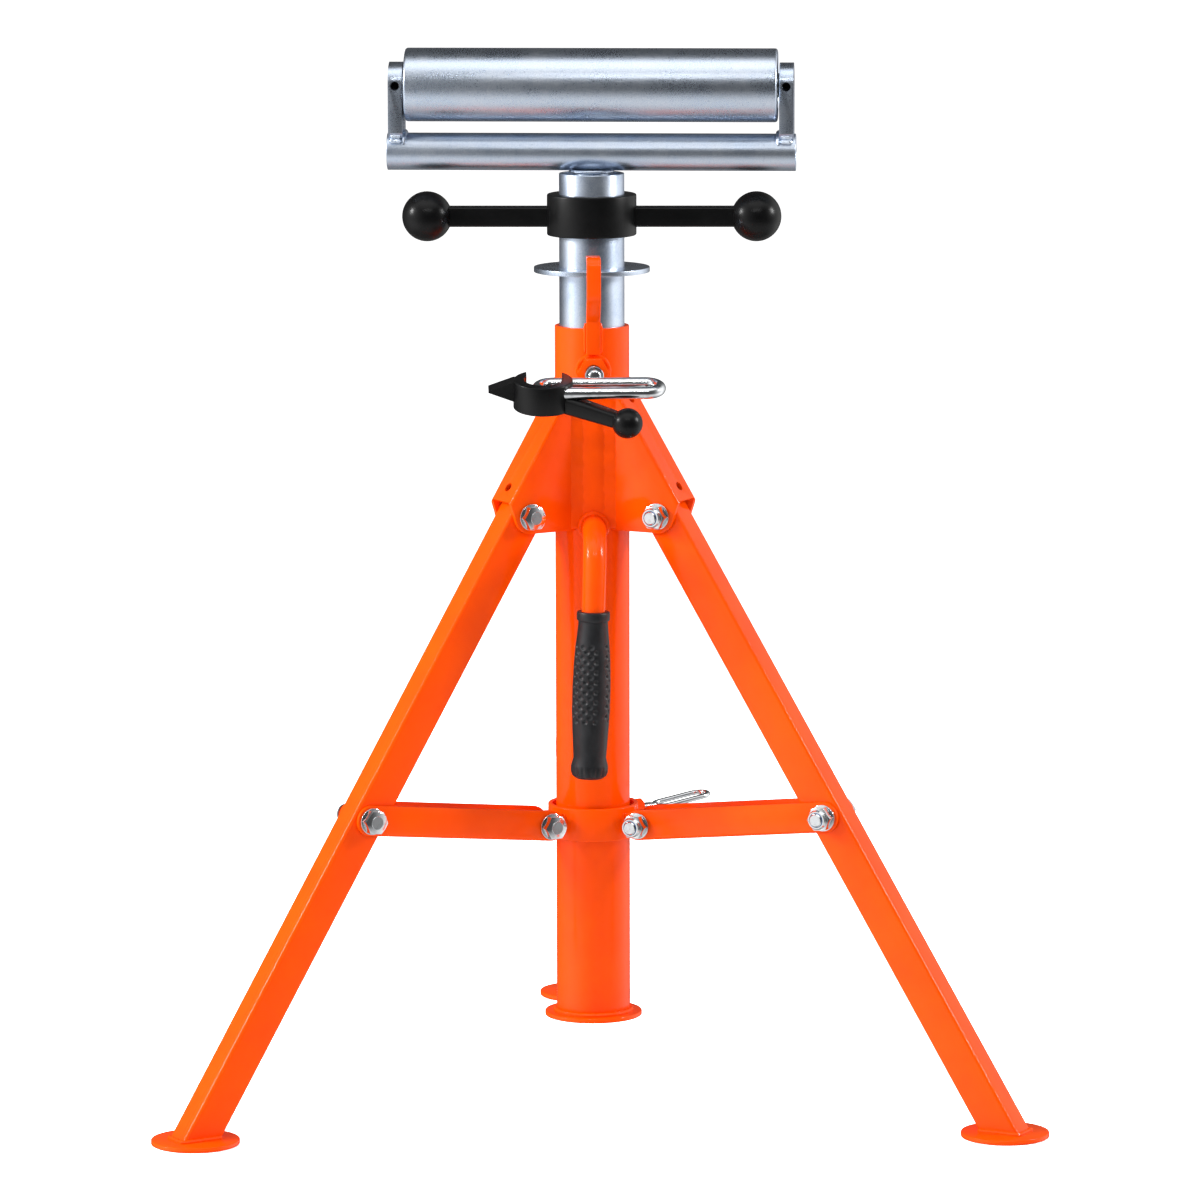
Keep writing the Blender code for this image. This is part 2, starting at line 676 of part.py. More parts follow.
def build_brace(side, frame):
    """Channel brace with round ends, open on top, cut back where the leg passes through it."""
    place = (EAR_PIVOT_RADIUS, 0, EAR_PIVOT_HEIGHT)
    joint = empty("brace_joint_" + side, place, (0, -BRACE_SLOPE, 0), frame)
    name = "brace_" + side
    radius = BRACE_DEPTH / 2
    outline = arc((0, 0), radius, 90, 270, 7) + arc((BRACE_LENGTH, 0), radius, -90, 90, 7)
    blank = outline_mesh(name, [outline], -BRACE_OUTSIDE, BRACE_OUTSIDE)
    brace = add_object(name, blank, joint, turn=UPRIGHT, kind=ORANGE)
    floor = -radius + BRACE_WALL
    web_end = BRACE_LENGTH - BRACE_WEB_FROM_LEG
    far = BRACE_DEPTH
    pocket = [
        (-far, far),
        (-far, -far),
        (BRACE_WEB_FROM_COLLAR, -far),
        (BRACE_WEB_FROM_COLLAR, floor),
        (web_end, floor),
        (web_end, -far),
        (BRACE_LENGTH + far, -far),
        (BRACE_LENGTH + far, far),
    ]
    tool = outline_mesh(name + "_pocket", [pocket], -BRACE_INSIDE, BRACE_INSIDE)
    cut(brace, add_object(name + "_pocket", tool, joint, turn=UPRIGHT))
    reach = BRACE_OUTSIDE + CUT_MARGIN
    for x in (0, BRACE_LENGTH):
        hole(brace, BOLT_HOLE, -reach, reach, joint, (x, 0, 0), ALONG_Y)
    at = (BRACE_LENGTH, 0, 0)
    bolt("brace_bolt_" + side, joint, at, ALONG_Y, BRACE_OUTSIDE, BRACE_INSIDE)
    nut("brace_nut_" + side, joint, at, ALONG_Y, -BRACE_OUTSIDE, False, -BRACE_INSIDE)


def build_collar(stand):
    """Sliding ring with three pairs of ears for the braces, and a hole for its lock."""
    slide = empty("collar_slide", (0, 0, COLLAR_BOTTOM), parent=stand)
    bore = COLLAR_RADIUS - COLLAR_WALL
    section = ring_profile(COLLAR_RADIUS, bore, 0, COLLAR_HEIGHT, TUBE_EDGE)
    collar = add_object(
        "slide_collar", turned_mesh("slide_collar", section), slide, kind=ORANGE
    )
    root = COLLAR_RADIUS - EAR_ROOT_INSET
    centre = (EAR_PIVOT_RADIUS, EAR_PIVOT_ABOVE_BOTTOM)
    outline = arc(centre, EAR_LOBE, -90, 90, 6) + [
        (root, EAR_PIVOT_ABOVE_BOTTOM + EAR_LOBE),
        (root, EAR_PIVOT_ABOVE_BOTTOM - EAR_LOBE),
    ]
    for side, degrees in LEG_AZIMUTHS.items():
        turn = math.radians(degrees)
        frame = empty("collar_ears_" + side, turn=(0, 0, turn), parent=slide)
        for edge, far in ((EAR_OUTSIDE - EAR_WALL, EAR_OUTSIDE), (-EAR_OUTSIDE, EAR_WALL - EAR_OUTSIDE)):
            ear = outline_mesh("ear", [outline], edge, far)
            cut(collar, add_object("ear_" + side, ear, frame, turn=UPRIGHT), "UNION")
    for side, degrees in LEG_AZIMUTHS.items():
        frame = bpy.data.objects["collar_ears_" + side]
        reach = BRACE_OUTSIDE + CUT_MARGIN
        at = (EAR_PIVOT_RADIUS, 0, EAR_PIVOT_ABOVE_BOTTOM)
        hole(collar, BOLT_HOLE, -reach, reach, frame, at, ALONG_Y)
        end = -BRACE_OUTSIDE - nut_stack()
        bolt("collar_bolt_" + side, frame, at, ALONG_Y, BRACE_OUTSIDE, end)
        nut("collar_nut_" + side, frame, at, ALONG_Y, -BRACE_OUTSIDE)
    build_collar_lock(slide, collar)


def build_collar_lock(slide, collar):
    """Weld nut on the collar and the small screw with its wire loop."""
    lock = empty("lock_axis", (0, 0, LOCK_ABOVE_BOTTOM), (0, 0, LOCK_AZIMUTH), slide)
    along_x = (0, math.pi / 2, 0)
    radius = LOCK_DIAMETER / 2
    hole(collar, radius + SEAT_GAP, POST_RADIUS, COLLAR_RADIUS + CUT_MARGIN, lock, turn=along_x)
    seat = COLLAR_RADIUS + SEAT_GAP
    body = hex_mesh("collar_lock_nut", LOCK_HEX, seat, seat + LOCK_NUT_THICKNESS)
    welded = add_object("collar_lock_nut", body, lock, turn=along_x, kind=ORANGE)
    hole(welded, radius + SEAT_GAP, 0, LOCK_STEM_END, lock, turn=along_x)
    stem = turned_mesh(
        "collar_lock_screw",
        [
            (0.0, LOCK_STEM_END),
            (radius, LOCK_STEM_END),
            (radius, POST_RADIUS + SEAT_GAP + HEX_CHAMFER),
            (radius - HEX_CHAMFER, POST_RADIUS + SEAT_GAP),
            (0.0, POST_RADIUS + SEAT_GAP),
        ],
        TINY_ROUND,
        closed=False,
    )
    screw = add_object("collar_lock_screw", stem, lock, turn=along_x, kind=BRIGHT)
    start = LOCK_STEM_END - LOCK_WIRE_OVERLAP
    half = LOCK_LOOP_WIDTH / 2
    outline = arc((half, 0), half, 90, 270, 7) + arc((LOCK_LOOP_LENGTH - half, 0), half, -90, 90, 7)
    wire = rod_mesh("lock_wire", [(x, y, 0) for x, y in outline], LOCK_WIRE, cyclic=True, around=1)
    loop = add_object("lock_wire", wire, lock, (start, 0, 0), (0, -LOCK_LOOP_RISE, 0))
    cut(screw, loop, "UNION")


def build_mast(stand):
    """Turning sleeve with the flange that the hook holds down and the nut that the stem climbs in."""
    mast = empty("mast_axis", (0, 0, 0), (0, 0, HANDLE_TURN), stand)
    bore = MAST_RADIUS - MAST_WALL
    section = ring_profile(MAST_RADIUS, bore, MAST_BOTTOM, MAST_TOP, TUBE_EDGE)
    add_object("mast_tube", turned_mesh("mast_tube", section), mast, kind=ZINC)
    seat = MAST_RADIUS + SEAT_GAP
    disc = ring_profile(FLANGE_DIAMETER / 2, seat, FLANGE_TOP - FLANGE_THICKNESS, FLANGE_TOP)
    add_object("mast_flange", turned_mesh("mast_flange", disc, WIDE_ROUND), mast, kind=ZINC)
    top = MAST_TOP - MAST_NUT_DEPTH
    thread = STEM_DIAMETER / 2 + SEAT_GAP
    inner = ring_profile(bore - SEAT_GAP, thread, top - MAST_NUT_HEIGHT, top)
    add_object("mast_nut", turned_mesh("mast_nut", inner, MIDDLE_ROUND), mast, kind=ZINC)
    build_t_handle(mast)


def build_t_handle(mast):
    """Hub and two arms in one casting, with a ball on each arm."""
    low, high = HUB_BOTTOM, HUB_BOTTOM + HUB_HEIGHT
    section = ring_profile(HUB_DIAMETER / 2, MAST_RADIUS + SEAT_GAP, low, high, HUB_CORNER)
    hub = add_object("t_handle", turned_mesh("t_handle", section), mast, kind=BLACK)
    height = HUB_BOTTOM + HUB_HEIGHT / 2 - ARM_BELOW_MIDDLE
    root = (MAST_RADIUS + HUB_DIAMETER / 2) / 2
    tip = KNOB_REACH - ARM_IN_KNOB
    bar = rounded_rectangle(ARM_HEIGHT, ARM_DEPTH, ARM_EDGE)
    socket = rounded_rectangle(
        ARM_HEIGHT + 2 * SEAT_GAP, ARM_DEPTH + 2 * SEAT_GAP, ARM_EDGE + SEAT_GAP
    )
    for side, turn in (("right", math.pi / 2), ("left", -math.pi / 2)):
        place, lay = (0, 0, height), (0, turn, 0)
        arm = outline_mesh("arm_" + side, [bar], root, tip)
        cut(hub, add_object("arm_" + side, arm, mast, place, lay), "UNION")
        name = "handle_knob_" + side
        bm = bmesh.new()
        bmesh.ops.create_uvsphere(bm, u_segments=16, v_segments=9, radius=KNOB_DIAMETER / 2)
        bmesh.ops.translate(bm, verts=bm.verts[:], vec=(0, 0, KNOB_REACH))
        knob = add_object(name, mesh_from(bm, name), mast, place, lay, BLACK)
        tool = outline_mesh(name + "_socket", [socket], 0, tip + SEAT_GAP)
        cut(knob, add_object(name + "_socket", tool, mast, place, lay))


def build_head(stand):
    """Stem, cross tube, lugs, axle and the roller on its bearings."""
    head = empty("head_axis", (0, 0, 0), (0, 0, HEAD_TURN), stand)
    tube_radius = CROSS_TUBE_DIAMETER / 2
    stem_top = CROSS_TUBE_HEIGHT - tube_radius - SEAT_GAP
    stem = turned_mesh(
        "head_stem",
        [
            (0.0, stem_top),
            (STEM_DIAMETER / 2, stem_top),
            (STEM_DIAMETER / 2, stem_top - STEM_LENGTH + STEM_CHAMFER),
            (STEM_DIAMETER / 2 - STEM_CHAMFER, stem_top - STEM_LENGTH),
            (0.0, stem_top - STEM_LENGTH),
        ],
        MIDDLE_ROUND,
        closed=False,
    )
    add_object("head_stem", stem, head, kind=ZINC)
    half = CROSS_TUBE_LENGTH / 2
    section = ring_profile(tube_radius, tube_radius - CROSS_TUBE_WALL, -half, half)
    along_x = (0, math.pi / 2, 0)
    middle = (0, 0, CROSS_TUBE_HEIGHT)
    tube = turned_mesh("cross_tube", section, MIDDLE_ROUND)
    add_object("cross_tube", tube, head, middle, along_x, ZINC)
    for side, sign in (("left", -1), ("right", 1)):
        build_lug(side, sign, head)
    axle_half = LUG_SPAN / 2 + LUG_THICKNESS
    axle = turned_mesh(
        "roller_axle",
        [
            (0.0, axle_half),
            (AXLE_DIAMETER / 2 - AXLE_CHAMFER, axle_half),
            (AXLE_DIAMETER / 2, axle_half - AXLE_CHAMFER),
            (AXLE_DIAMETER / 2, -axle_half + AXLE_CHAMFER),
            (AXLE_DIAMETER / 2 - AXLE_CHAMFER, -axle_half),
            (0.0, -axle_half),
        ],
        SMALL_ROUND,
        closed=False,
    )
    add_object("roller_axle", axle, head, (0, 0, AXLE_HEIGHT), along_x, BRIGHT)
    build_roller(head)


def build_lug(side, sign, head):
    """Round-topped upright, coped over the cross tube, drilled for the axle and its set screw."""
    name = "roller_lug_" + side
    half = LUG_WIDTH / 2
    foot = CROSS_TUBE_HEIGHT + LUG_FOOT_ABOVE_TUBE
    outline = arc((0, LUG_TOP - half), half, 0, 180, 12) + [(-half, foot), (half, foot)]
    near = LUG_SPAN / 2
    blank = outline_mesh(name, [outline], -LUG_THICKNESS / 2, LUG_THICKNESS / 2)
    across_x = (math.pi / 2, 0, math.pi / 2)
    at = (sign * (near + LUG_THICKNESS / 2), 0, 0)
    lug = add_object(name, blank, head, at, across_x, ZINC)
    along_x = (0, math.pi / 2, 0)
    reach = CROSS_TUBE_LENGTH
    tube_radius = CROSS_TUBE_DIAMETER / 2 + SEAT_GAP
    hole(lug, tube_radius, -reach, reach, head, (0, 0, CROSS_TUBE_HEIGHT), along_x, MIDDLE_ROUND)
    axle = AXLE_DIAMETER / 2 + SEAT_GAP
    hole(lug, axle, -reach, reach, head, (0, 0, AXLE_HEIGHT), along_x)
    place = (at[0], 0, AXLE_HEIGHT)
    front = half + CUT_MARGIN
    hole(lug, SET_SCREW_DIAMETER / 2 + SEAT_GAP, -front, 0, head, place, ALONG_Y, SMALL_ROUND)
    screw = turned_mesh(
        "set_screw_" + side,
        [
            (0.0, -AXLE_DIAMETER / 2 - SEAT_GAP),
            (SET_SCREW_DIAMETER / 2, -AXLE_DIAMETER / 2 - SEAT_GAP),
            (SET_SCREW_DIAMETER / 2, -half + SET_SCREW_INSET),
            (0.0, -half + SET_SCREW_INSET),
        ],
        SMALL_ROUND,
        closed=False,
    )
    add_object("set_screw_" + side, screw, head, place, ALONG_Y, BRIGHT)
    inner = AXLE_DIAMETER / 2 + SEAT_GAP
    low = ROLLER_LENGTH / 2 + SEAT_GAP
    ring = ring_profile(SPACER_DIAMETER / 2, inner, low, near - SEAT_GAP, SPACER_EDGE)
    spacer = turned_mesh("roller_spacer_" + side, ring, SMALL_ROUND)
    lay = (0, sign * math.pi / 2, 0)
    add_object("roller_spacer_" + side, spacer, head, (0, 0, AXLE_HEIGHT), lay, BEARING)


def build_roller(head):
    """Steel tube roller with a bearing pressed in each end."""
    spin = empty("roller_axis", (0, 0, AXLE_HEIGHT), (0, 0, 0), head)
    along_x = (0, math.pi / 2, 0)
    half = ROLLER_LENGTH / 2
    radius = ROLLER_DIAMETER / 2
    bore = radius - ROLLER_WALL
    section = ring_profile(radius, bore, -half, half, ROLLER_CORNER)
    shell = turned_mesh("roller_shell", section, WIDE_ROUND)
    add_object("roller_shell", shell, spin, turn=along_x, kind=ZINC)
    inner = AXLE_DIAMETER / 2 + SEAT_GAP
    for side, turn in (("left", -math.pi / 2), ("right", math.pi / 2)):
        name = "roller_bearing_" + side
        far = half - BEARING_INSET
        ring = ring_profile(bore - SEAT_GAP, inner, far - BEARING_WIDTH, far)
        add_object(name, turned_mesh(name, ring, MIDDLE_ROUND), spin, turn=(0, turn, 0), kind=BEARING)


def strip_outline(path, thickness):
    """Outline of a strip of even thickness along a path in the plane."""
    left, right = [], []
    for i, here in enumerate(path):
        before = Vector(path[max(i - 1, 0)])
        after = Vector(path[min(i + 1, len(path) - 1)])
        middle = Vector(here)
        first = (middle - before).normalized() if i else (after - middle).normalized()
        last = (after - middle).normalized() if i < len(path) - 1 else first
        side = Vector((-(first.y + last.y), first.x + last.x)).normalized()
        reach = thickness / 2 / max(side.dot(Vector((-first.y, first.x))), 0.5)
        left.append(tuple(middle + side * reach))
        right.append(tuple(middle - side * reach))
    return left + right[::-1]


def build_hook(stand):
    """Flat bar welded to the post, set out past the flange and folded back over it."""
    half = HOOK_THICKNESS / 2
    on_post = POST_RADIUS + SEAT_GAP + half
    out = FLANGE_DIAMETER / 2 + HOOK_FLANGE_PLAY + half
    top = HOOK_TOP - half
    bend = arc((-out + HOOK_BEND, top - HOOK_BEND), HOOK_BEND, 180, 90, 5)
    path = [
        (-on_post, HOOK_BOTTOM),
        (-on_post, HOOK_STRAIGHT_TOP),
        (-out, HOOK_JOGGLE_TOP),
        *bend,
        (-out + HOOK_BEND + HOOK_LIP, top),
    ]
    outline = strip_outline(path, HOOK_THICKNESS)
    mesh = outline_mesh("retaining_hook", [outline], -HOOK_WIDTH / 2, HOOK_WIDTH / 2)
    add_object("retaining_hook", mesh, stand, turn=(math.pi / 2, 0, math.pi / 2), kind=ORANGE)


def build_clamp(stand):
    """Weld nut, clamp screw with its oblong loop, and the cast lever that sits on the loop."""
    axis = empty("clamp_axis", (0, 0, CLAMP_HEIGHT), parent=stand)
    forward = (math.pi / 2, 0, 0)
    radius = CLAMP_DIAMETER / 2
    seat = POST_RADIUS + SEAT_GAP
    body = hex_mesh("clamp_nut", CLAMP_NUT_HEX, seat - POST_WALL, seat + CLAMP_NUT_THICKNESS)
    welded = add_object("clamp_nut", body, axis, turn=forward, kind=ORANGE)
    hole(welded, radius + SEAT_GAP, 0, 2 * seat, axis, turn=forward)
    cope = cylinder_mesh("clamp_nut_cope", seat, -CLAMP_NUT_HEX, CLAMP_NUT_HEX)
    cut(welded, add_object("clamp_nut_cope", cope, axis))
    end = LOOP_BACK_BAR
    tip = MAST_RADIUS + SEAT_GAP
    stem = turned_mesh(
        "clamp_screw",
        [
            (0.0, end),
            (radius, end),
            (radius, tip + HEX_CHAMFER),
            (radius - HEX_CHAMFER, tip),
            (0.0, tip),
        ],
        SMALL_ROUND,
        closed=False,
    )
    screw = add_object("clamp_screw", stem, axis, turn=forward, kind=BRIGHT)
    droop = (LOOP_DROOP, 0, 0)
    back = (LOOP_SHIFT, -LOOP_BACK_BAR, -LOOP_BELOW_AXIS)
    wire = loop_mesh("loop_rod", LOOP_ROD)
    cut(screw, add_object("loop_rod", wire, axis, back, droop), "UNION")
    build_clamp_lever(axis, back, droop)


def loop_mesh(name, rod):
    """The oblong loop, its back bar on the X axis and its front bar towards -Y."""
    bend = LOOP_BARS_APART / 2
    straight = LOOP_LENGTH / 2 - LOOP_ROD / 2 - bend
    outline = arc((straight, -bend), bend, -90, 90, 8) + arc((-straight, -bend), bend, 90, 270, 8)
    return rod_mesh(name, [(x, y, 0) for x, y in outline], rod, cyclic=True, around=3)


def build_clamp_lever(axis, back, droop):
    """Cast eye slotted for the loop, with a pointed tail and an arm that ends in a ball."""
    frame = empty("lever_frame", back, droop, axis)
    eye = (LEVER_EYE_X, -LOOP_BARS_APART / 2, 0)
    low = LEVER_EYE_TOP - LEVER_EYE_HEIGHT
    section = ring_profile(
        LEVER_EYE_DIAMETER / 2, LEVER_EYE_BORE / 2, low, LEVER_EYE_TOP, LEVER_EDGE
    )
    lever = add_object("clamp_lever", turned_mesh("clamp_lever", section, MIDDLE_ROUND), frame, eye, kind=BLACK)
    wall = (LEVER_EYE_DIAMETER + LEVER_EYE_BORE) / 4
    top = LEVER_EYE_TOP - LEVER_TAIL_DROP
    tip = top - LEVER_TAIL_TIP_DROP
    tail = [
        (-wall, top),
        (-LEVER_EYE_DIAMETER / 2, top),
        (-LEVER_TAIL_REACH, tip + LEVER_TAIL_TIP),
        (-LEVER_TAIL_REACH, tip - LEVER_TAIL_TIP),
        (-LEVER_EYE_DIAMETER / 2, top - LEVER_TAIL_HEIGHT),
        (-wall, top - LEVER_TAIL_HEIGHT),
    ]
    half = LEVER_TAIL_WIDTH / 2
    wedge = outline_mesh("lever_tail", [tail], -half - LEVER_TAIL_BACK, half - LEVER_TAIL_BACK)
    cut(lever, add_object("lever_tail", wedge, frame, eye, UPRIGHT), "UNION")
    floor = LEVER_EYE_TOP - LEVER_NOTCH_DEPTH
    above = LEVER_EYE_TOP + CUT_MARGIN
    notch = [
        (-LEVER_NOTCH_LEFT, floor),
        (LEVER_NOTCH_RIGHT, floor),
        (LEVER_NOTCH_RIGHT, above),
        (-LEVER_NOTCH_LEFT, above),
    ]
    gap = outline_mesh("lever_notch", [notch], -LEVER_EYE_DIAMETER / 2 - CUT_MARGIN, 0)
    cut(lever, add_object("lever_notch", gap, frame, eye, UPRIGHT))
    ball_place = Vector(LEVER_BALL_PLACE)
    plan = Vector(LEVER_BALL_PLACE[:2]).normalized() * wall
    root = Vector((*plan, LEVER_EYE_TOP - LEVER_ARM_DROP))
    run = ball_place - root
    shaft = run.length - LEVER_BALL_DIAMETER / 4
    turn = run.to_track_quat("Z", "Y").to_euler()
    start = Vector(eye) + root
    arm = arm_mesh("lever_arm", LEVER_ARM_ROOT, LEVER_ARM_TIP, shaft)
    cut(lever, add_object("lever_arm", arm, frame, start, turn), "UNION")
    slot = loop_mesh("loop_slot", LOOP_ROD + 2 * SEAT_GAP)
    cut(lever, add_object("loop_slot", slot, frame))
    bm = bmesh.new()
    bmesh.ops.create_uvsphere(bm, u_segments=12, v_segments=8, radius=LEVER_BALL_DIAMETER / 2)
    ball = add_object(
        "lever_ball", mesh_from(bm, "lever_ball"), frame, Vector(eye) + ball_place, kind=BLACK
    )
    socket = arm_mesh(
        "ball_socket", LEVER_ARM_ROOT + 2 * SEAT_GAP, LEVER_ARM_TIP + 2 * SEAT_GAP, shaft + SEAT_GAP
    )
    cut(ball, add_object("ball_socket", socket, frame, start, turn))


def arm_mesh(name, root, tip, length):
    """A tapered eight-sided arm along Z."""
    bm = bmesh.new()
    bmesh.ops.create_cone(
        bm, cap_ends=True, segments=8, radius1=root / 2, radius2=tip / 2, depth=length
    )
    bmesh.ops.translate(bm, verts=bm.verts[:], vec=(0, 0, length / 2))
    return mesh_from(bm, name)


def build_carry_handle(stand):
    """Bent rod welded to the post's front and the rubber grip on its lower end."""
    root = empty("carry_root", (0, 0, CARRY_ROOT_HEIGHT), (0, CARRY_LEAN, 0), stand)
    start = POST_RADIUS - POST_WALL
    bend = arc((-CARRY_STANDOFF + CARRY_BEND, -CARRY_BEND), CARRY_BEND, 90, 180, 7)
    end = GRIP_BOTTOM + GRIP_END_WALL + SEAT_GAP - CARRY_ROOT_HEIGHT
    path = [(-start, 0.0), *bend, (-CARRY_STANDOFF, end)]
    rod = rod_mesh("carry_handle", [(0, y, z) for y, z in path], CARRY_ROD, around=4)
    handle = add_object("carry_handle", rod, root, kind=ORANGE)
    low, high = POST_BOTTOM, POST_TOP
    cope = cylinder_mesh("carry_cope", POST_RADIUS + SEAT_GAP, low, high)
    cut(handle, add_object("carry_cope", cope, stand))
    top = GRIP_TOP - CARRY_ROOT_HEIGHT
    bottom = GRIP_BOTTOM - CARRY_ROOT_HEIGHT
    bore = CARRY_ROD / 2 + SEAT_GAP
    section = [
        (bore, top),
        (GRIP_RIM_RADIUS - GRIP_EDGE, top),
        (GRIP_RIM_RADIUS, top - GRIP_EDGE),
        (GRIP_RIM_RADIUS, top - GRIP_RIM_HEIGHT),
        (GRIP_RIM_RADIUS - GRIP_EDGE, top - GRIP_NECK_BELOW_TOP),
        (GRIP_RIM_RADIUS + GRIP_NECK_SWELL, top - GRIP_NECK_END),
        (GRIP_BELLY_RADIUS, top - GRIP_BELLY_START),
        (GRIP_BELLY_RADIUS, top - GRIP_BELLY_END),
        (GRIP_WAIST_RADIUS, bottom + GRIP_WAIST_HEIGHT),
        (GRIP_FLARE_RADIUS, bottom + GRIP_FLARE_TOP),
        (GRIP_FLARE_RADIUS, bottom + GRIP_FLARE_BOTTOM),
        (GRIP_FLARE_RADIUS - GRIP_END_CHAMFER, bottom),
        (0.0, bottom),
        (0.0, bottom + GRIP_END_WALL),
        (bore, bottom + GRIP_END_WALL),
    ]
    grip = turned_mesh("handle_grip", section, MIDDLE_ROUND)
    add_object("handle_grip", grip, root, (0, -CARRY_STANDOFF, 0), kind=RUBBER)


def build_pivots(side, frame):
    """Bolt and locking nut through the bracket and the leg."""
    at = (PIVOT_RADIUS, 0, PIVOT_HEIGHT)
    end = -BRACKET_OUTSIDE - nut_stack()
    bolt("leg_pivot_bolt_" + side, frame, at, ALONG_Y, BRACKET_OUTSIDE, end)
    nut("leg_pivot_nut_" + side, frame, at, ALONG_Y, -BRACKET_OUTSIDE)


def build_stand():
    """Builds the whole stand round the post's axis."""
    stand = empty("roller_stand_axis", (0, POST_AXIS_Y, 0))
    build_post(stand)
    for side, degrees in LEG_AZIMUTHS.items():
        frame = empty("leg_plane_" + side, turn=(0, 0, math.radians(degrees)), parent=stand)
        build_bracket(side, frame)
        build_leg(side, frame, stand)
        build_pivots(side, frame)
        build_brace(side, frame)
    build_collar(stand)
    build_mast(stand)
    build_head(stand)
    build_hook(stand)
    build_clamp(stand)
    build_carry_handle(stand)


clear_scene()
PIECES = collection("roller_stand")
CUTTERS = collection("cutters")
build_stand()
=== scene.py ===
"""Looks of the roller stand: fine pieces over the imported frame, their finishes, the light and the camera.

Lengths are in metres, Z points up, and the side with the carry handle faces -Y.
"""

import sys
import logging
import math
from collections.abc import Callable, Iterable, Sequence
from dataclasses import dataclass, field
from enum import Enum
from typing import ClassVar

import bmesh
import bpy
from mathutils import Matrix, Vector


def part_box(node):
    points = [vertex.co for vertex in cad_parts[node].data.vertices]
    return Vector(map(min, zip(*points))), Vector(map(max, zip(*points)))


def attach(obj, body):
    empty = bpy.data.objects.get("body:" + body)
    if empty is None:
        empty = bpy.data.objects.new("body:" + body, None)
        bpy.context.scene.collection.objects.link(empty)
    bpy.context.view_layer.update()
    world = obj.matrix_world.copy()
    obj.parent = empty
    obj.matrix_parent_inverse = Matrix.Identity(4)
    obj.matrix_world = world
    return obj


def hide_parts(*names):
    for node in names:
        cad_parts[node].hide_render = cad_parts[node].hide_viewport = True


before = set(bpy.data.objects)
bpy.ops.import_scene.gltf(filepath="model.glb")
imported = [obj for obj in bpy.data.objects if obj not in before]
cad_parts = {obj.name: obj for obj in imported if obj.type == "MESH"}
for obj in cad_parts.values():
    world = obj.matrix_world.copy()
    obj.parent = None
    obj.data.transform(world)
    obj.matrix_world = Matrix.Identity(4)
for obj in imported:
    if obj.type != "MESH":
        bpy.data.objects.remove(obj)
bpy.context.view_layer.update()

LOG = logging.getLogger("roller_stand")

SEAT = 0.0003
FINE = 96
COARSE = 32
MERGE = 0.00001
SHARP = math.radians(32)
OFF = 0.004

Pair = tuple[float, float]
Frames = list[Matrix]


class Body(Enum):
    """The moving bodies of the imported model."""

    POST = "post"
    COLLAR = "collar"
    LOCK = "collar_lock"
    MAST = "mast"
    HEAD = "head"
    ROLLER = "roller"
    CLAMP = "clamp"


class Cut(Enum):
    """What a cutter does to a blank."""

    TAKE = "DIFFERENCE"
    KEEP = "INTERSECT"
    JOIN = "UNION"


class Side(Enum):
    """The three legs, with the azimuth of each in degrees."""

    RIGHT = 330.0
    BACK = 90.0
    LEFT = 210.0

    @property
    def word(self) -> str:
        """The side's name as the nodes spell it."""
        return self.name.lower()

    @property
    def turn(self) -> Matrix:
        """The turn about Z that points local X along this leg."""
        return Matrix.Rotation(math.radians(self.value), 4, "Z")


def moved(x: float = 0.0, y: float = 0.0, z: float = 0.0) -> Matrix:
    """A move as a matrix."""
    return Matrix.Translation((x, y, z))


def turned_by(degrees: float, axis: str) -> Matrix:
    """A turn in degrees about X, Y or Z as a matrix."""
    return Matrix.Rotation(math.radians(degrees), 4, axis)


def middle_of(node: str) -> Vector:
    """The middle of a node's box at rest."""
    low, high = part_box(node)
    return (Vector(low) + Vector(high)) / 2


AXIS_Y = middle_of("mast_flange").y
STAND = moved(y=AXIS_Y)
UPRIGHT = turned_by(90, "X")
ALONG_X = turned_by(90, "Y")
ALONG_Y = turned_by(-90, "X")
TOWARDS_FRONT = turned_by(90, "X")


# Outlines and paths


def arc(centre: Pair, radius: float, start: float, end: float, steps: int) -> list[Pair]:
    """Points of an arc in the plane.

    Args:
        centre: The arc's centre.
        radius: Its radius.
        start: The first angle in degrees.
        end: The last angle in degrees.
        steps: How many chords it has.

    Returns:
        The points, both ends included.
    """
    angles = [math.radians(start + (end - start) * i / steps) for i in range(steps + 1)]
    return [(centre[0] + radius * math.cos(a), centre[1] + radius * math.sin(a)) for a in angles]


def rounded(width: float, height: float, radius: float, steps: int = 5) -> list[Pair]:
    """A rectangle's outline with round corners.

    Args:
        width: Its size along the first axis.
        height: Its size along the second.
        radius: The corners' radius.
        steps: Chords in each corner.

    Returns:
        The outline's points.
    """
    x, y = width / 2 - radius, height / 2 - radius
    corners = ((x, y, 0), (-x, y, 90), (-x, -y, 180), (x, -y, 270))
    return [p for cx, cy, a in corners for p in arc((cx, cy), radius, a, a + 90, steps)]


def ring(outer: float, inner: float, low: float, high: float, corner: float = 0.0005) -> list[Pair]:
    """A ring's section with round outer corners, as (radius, height) points.

    Args:
        outer: The outer radius.
        inner: The inner radius.
        low: The lower face.
        high: The upper face.
        corner: The radius of the outer corners.

    Returns:
        The section's points.
    """
    return (
        arc((outer - corner, high - corner), corner, 90, 0, 3)
        + arc((outer - corner, low + corner), corner, 0, -90, 3)
        + [(inner + corner / 2, low), (inner, low + corner / 2)]
        + [(inner, high - corner / 2), (inner + corner / 2, high)]
    )


def shaft(radius: float, low: float, high: float, corner: float = 0.0005) -> list[Pair]:
    """A solid round bar's half section from axis to axis.

    Args:
        radius: The bar's radius.
        low: The lower end.
        high: The upper end.
        corner: The radius of the round corners.

    Returns:
        The half section's points.
    """
    top = arc((radius - corner, high - corner), corner, 90, 0, 3)
    bottom = arc((radius - corner, low + corner), corner, 0, -90, 3)
    return [(0.0, high), *top, *bottom, (0.0, low)]


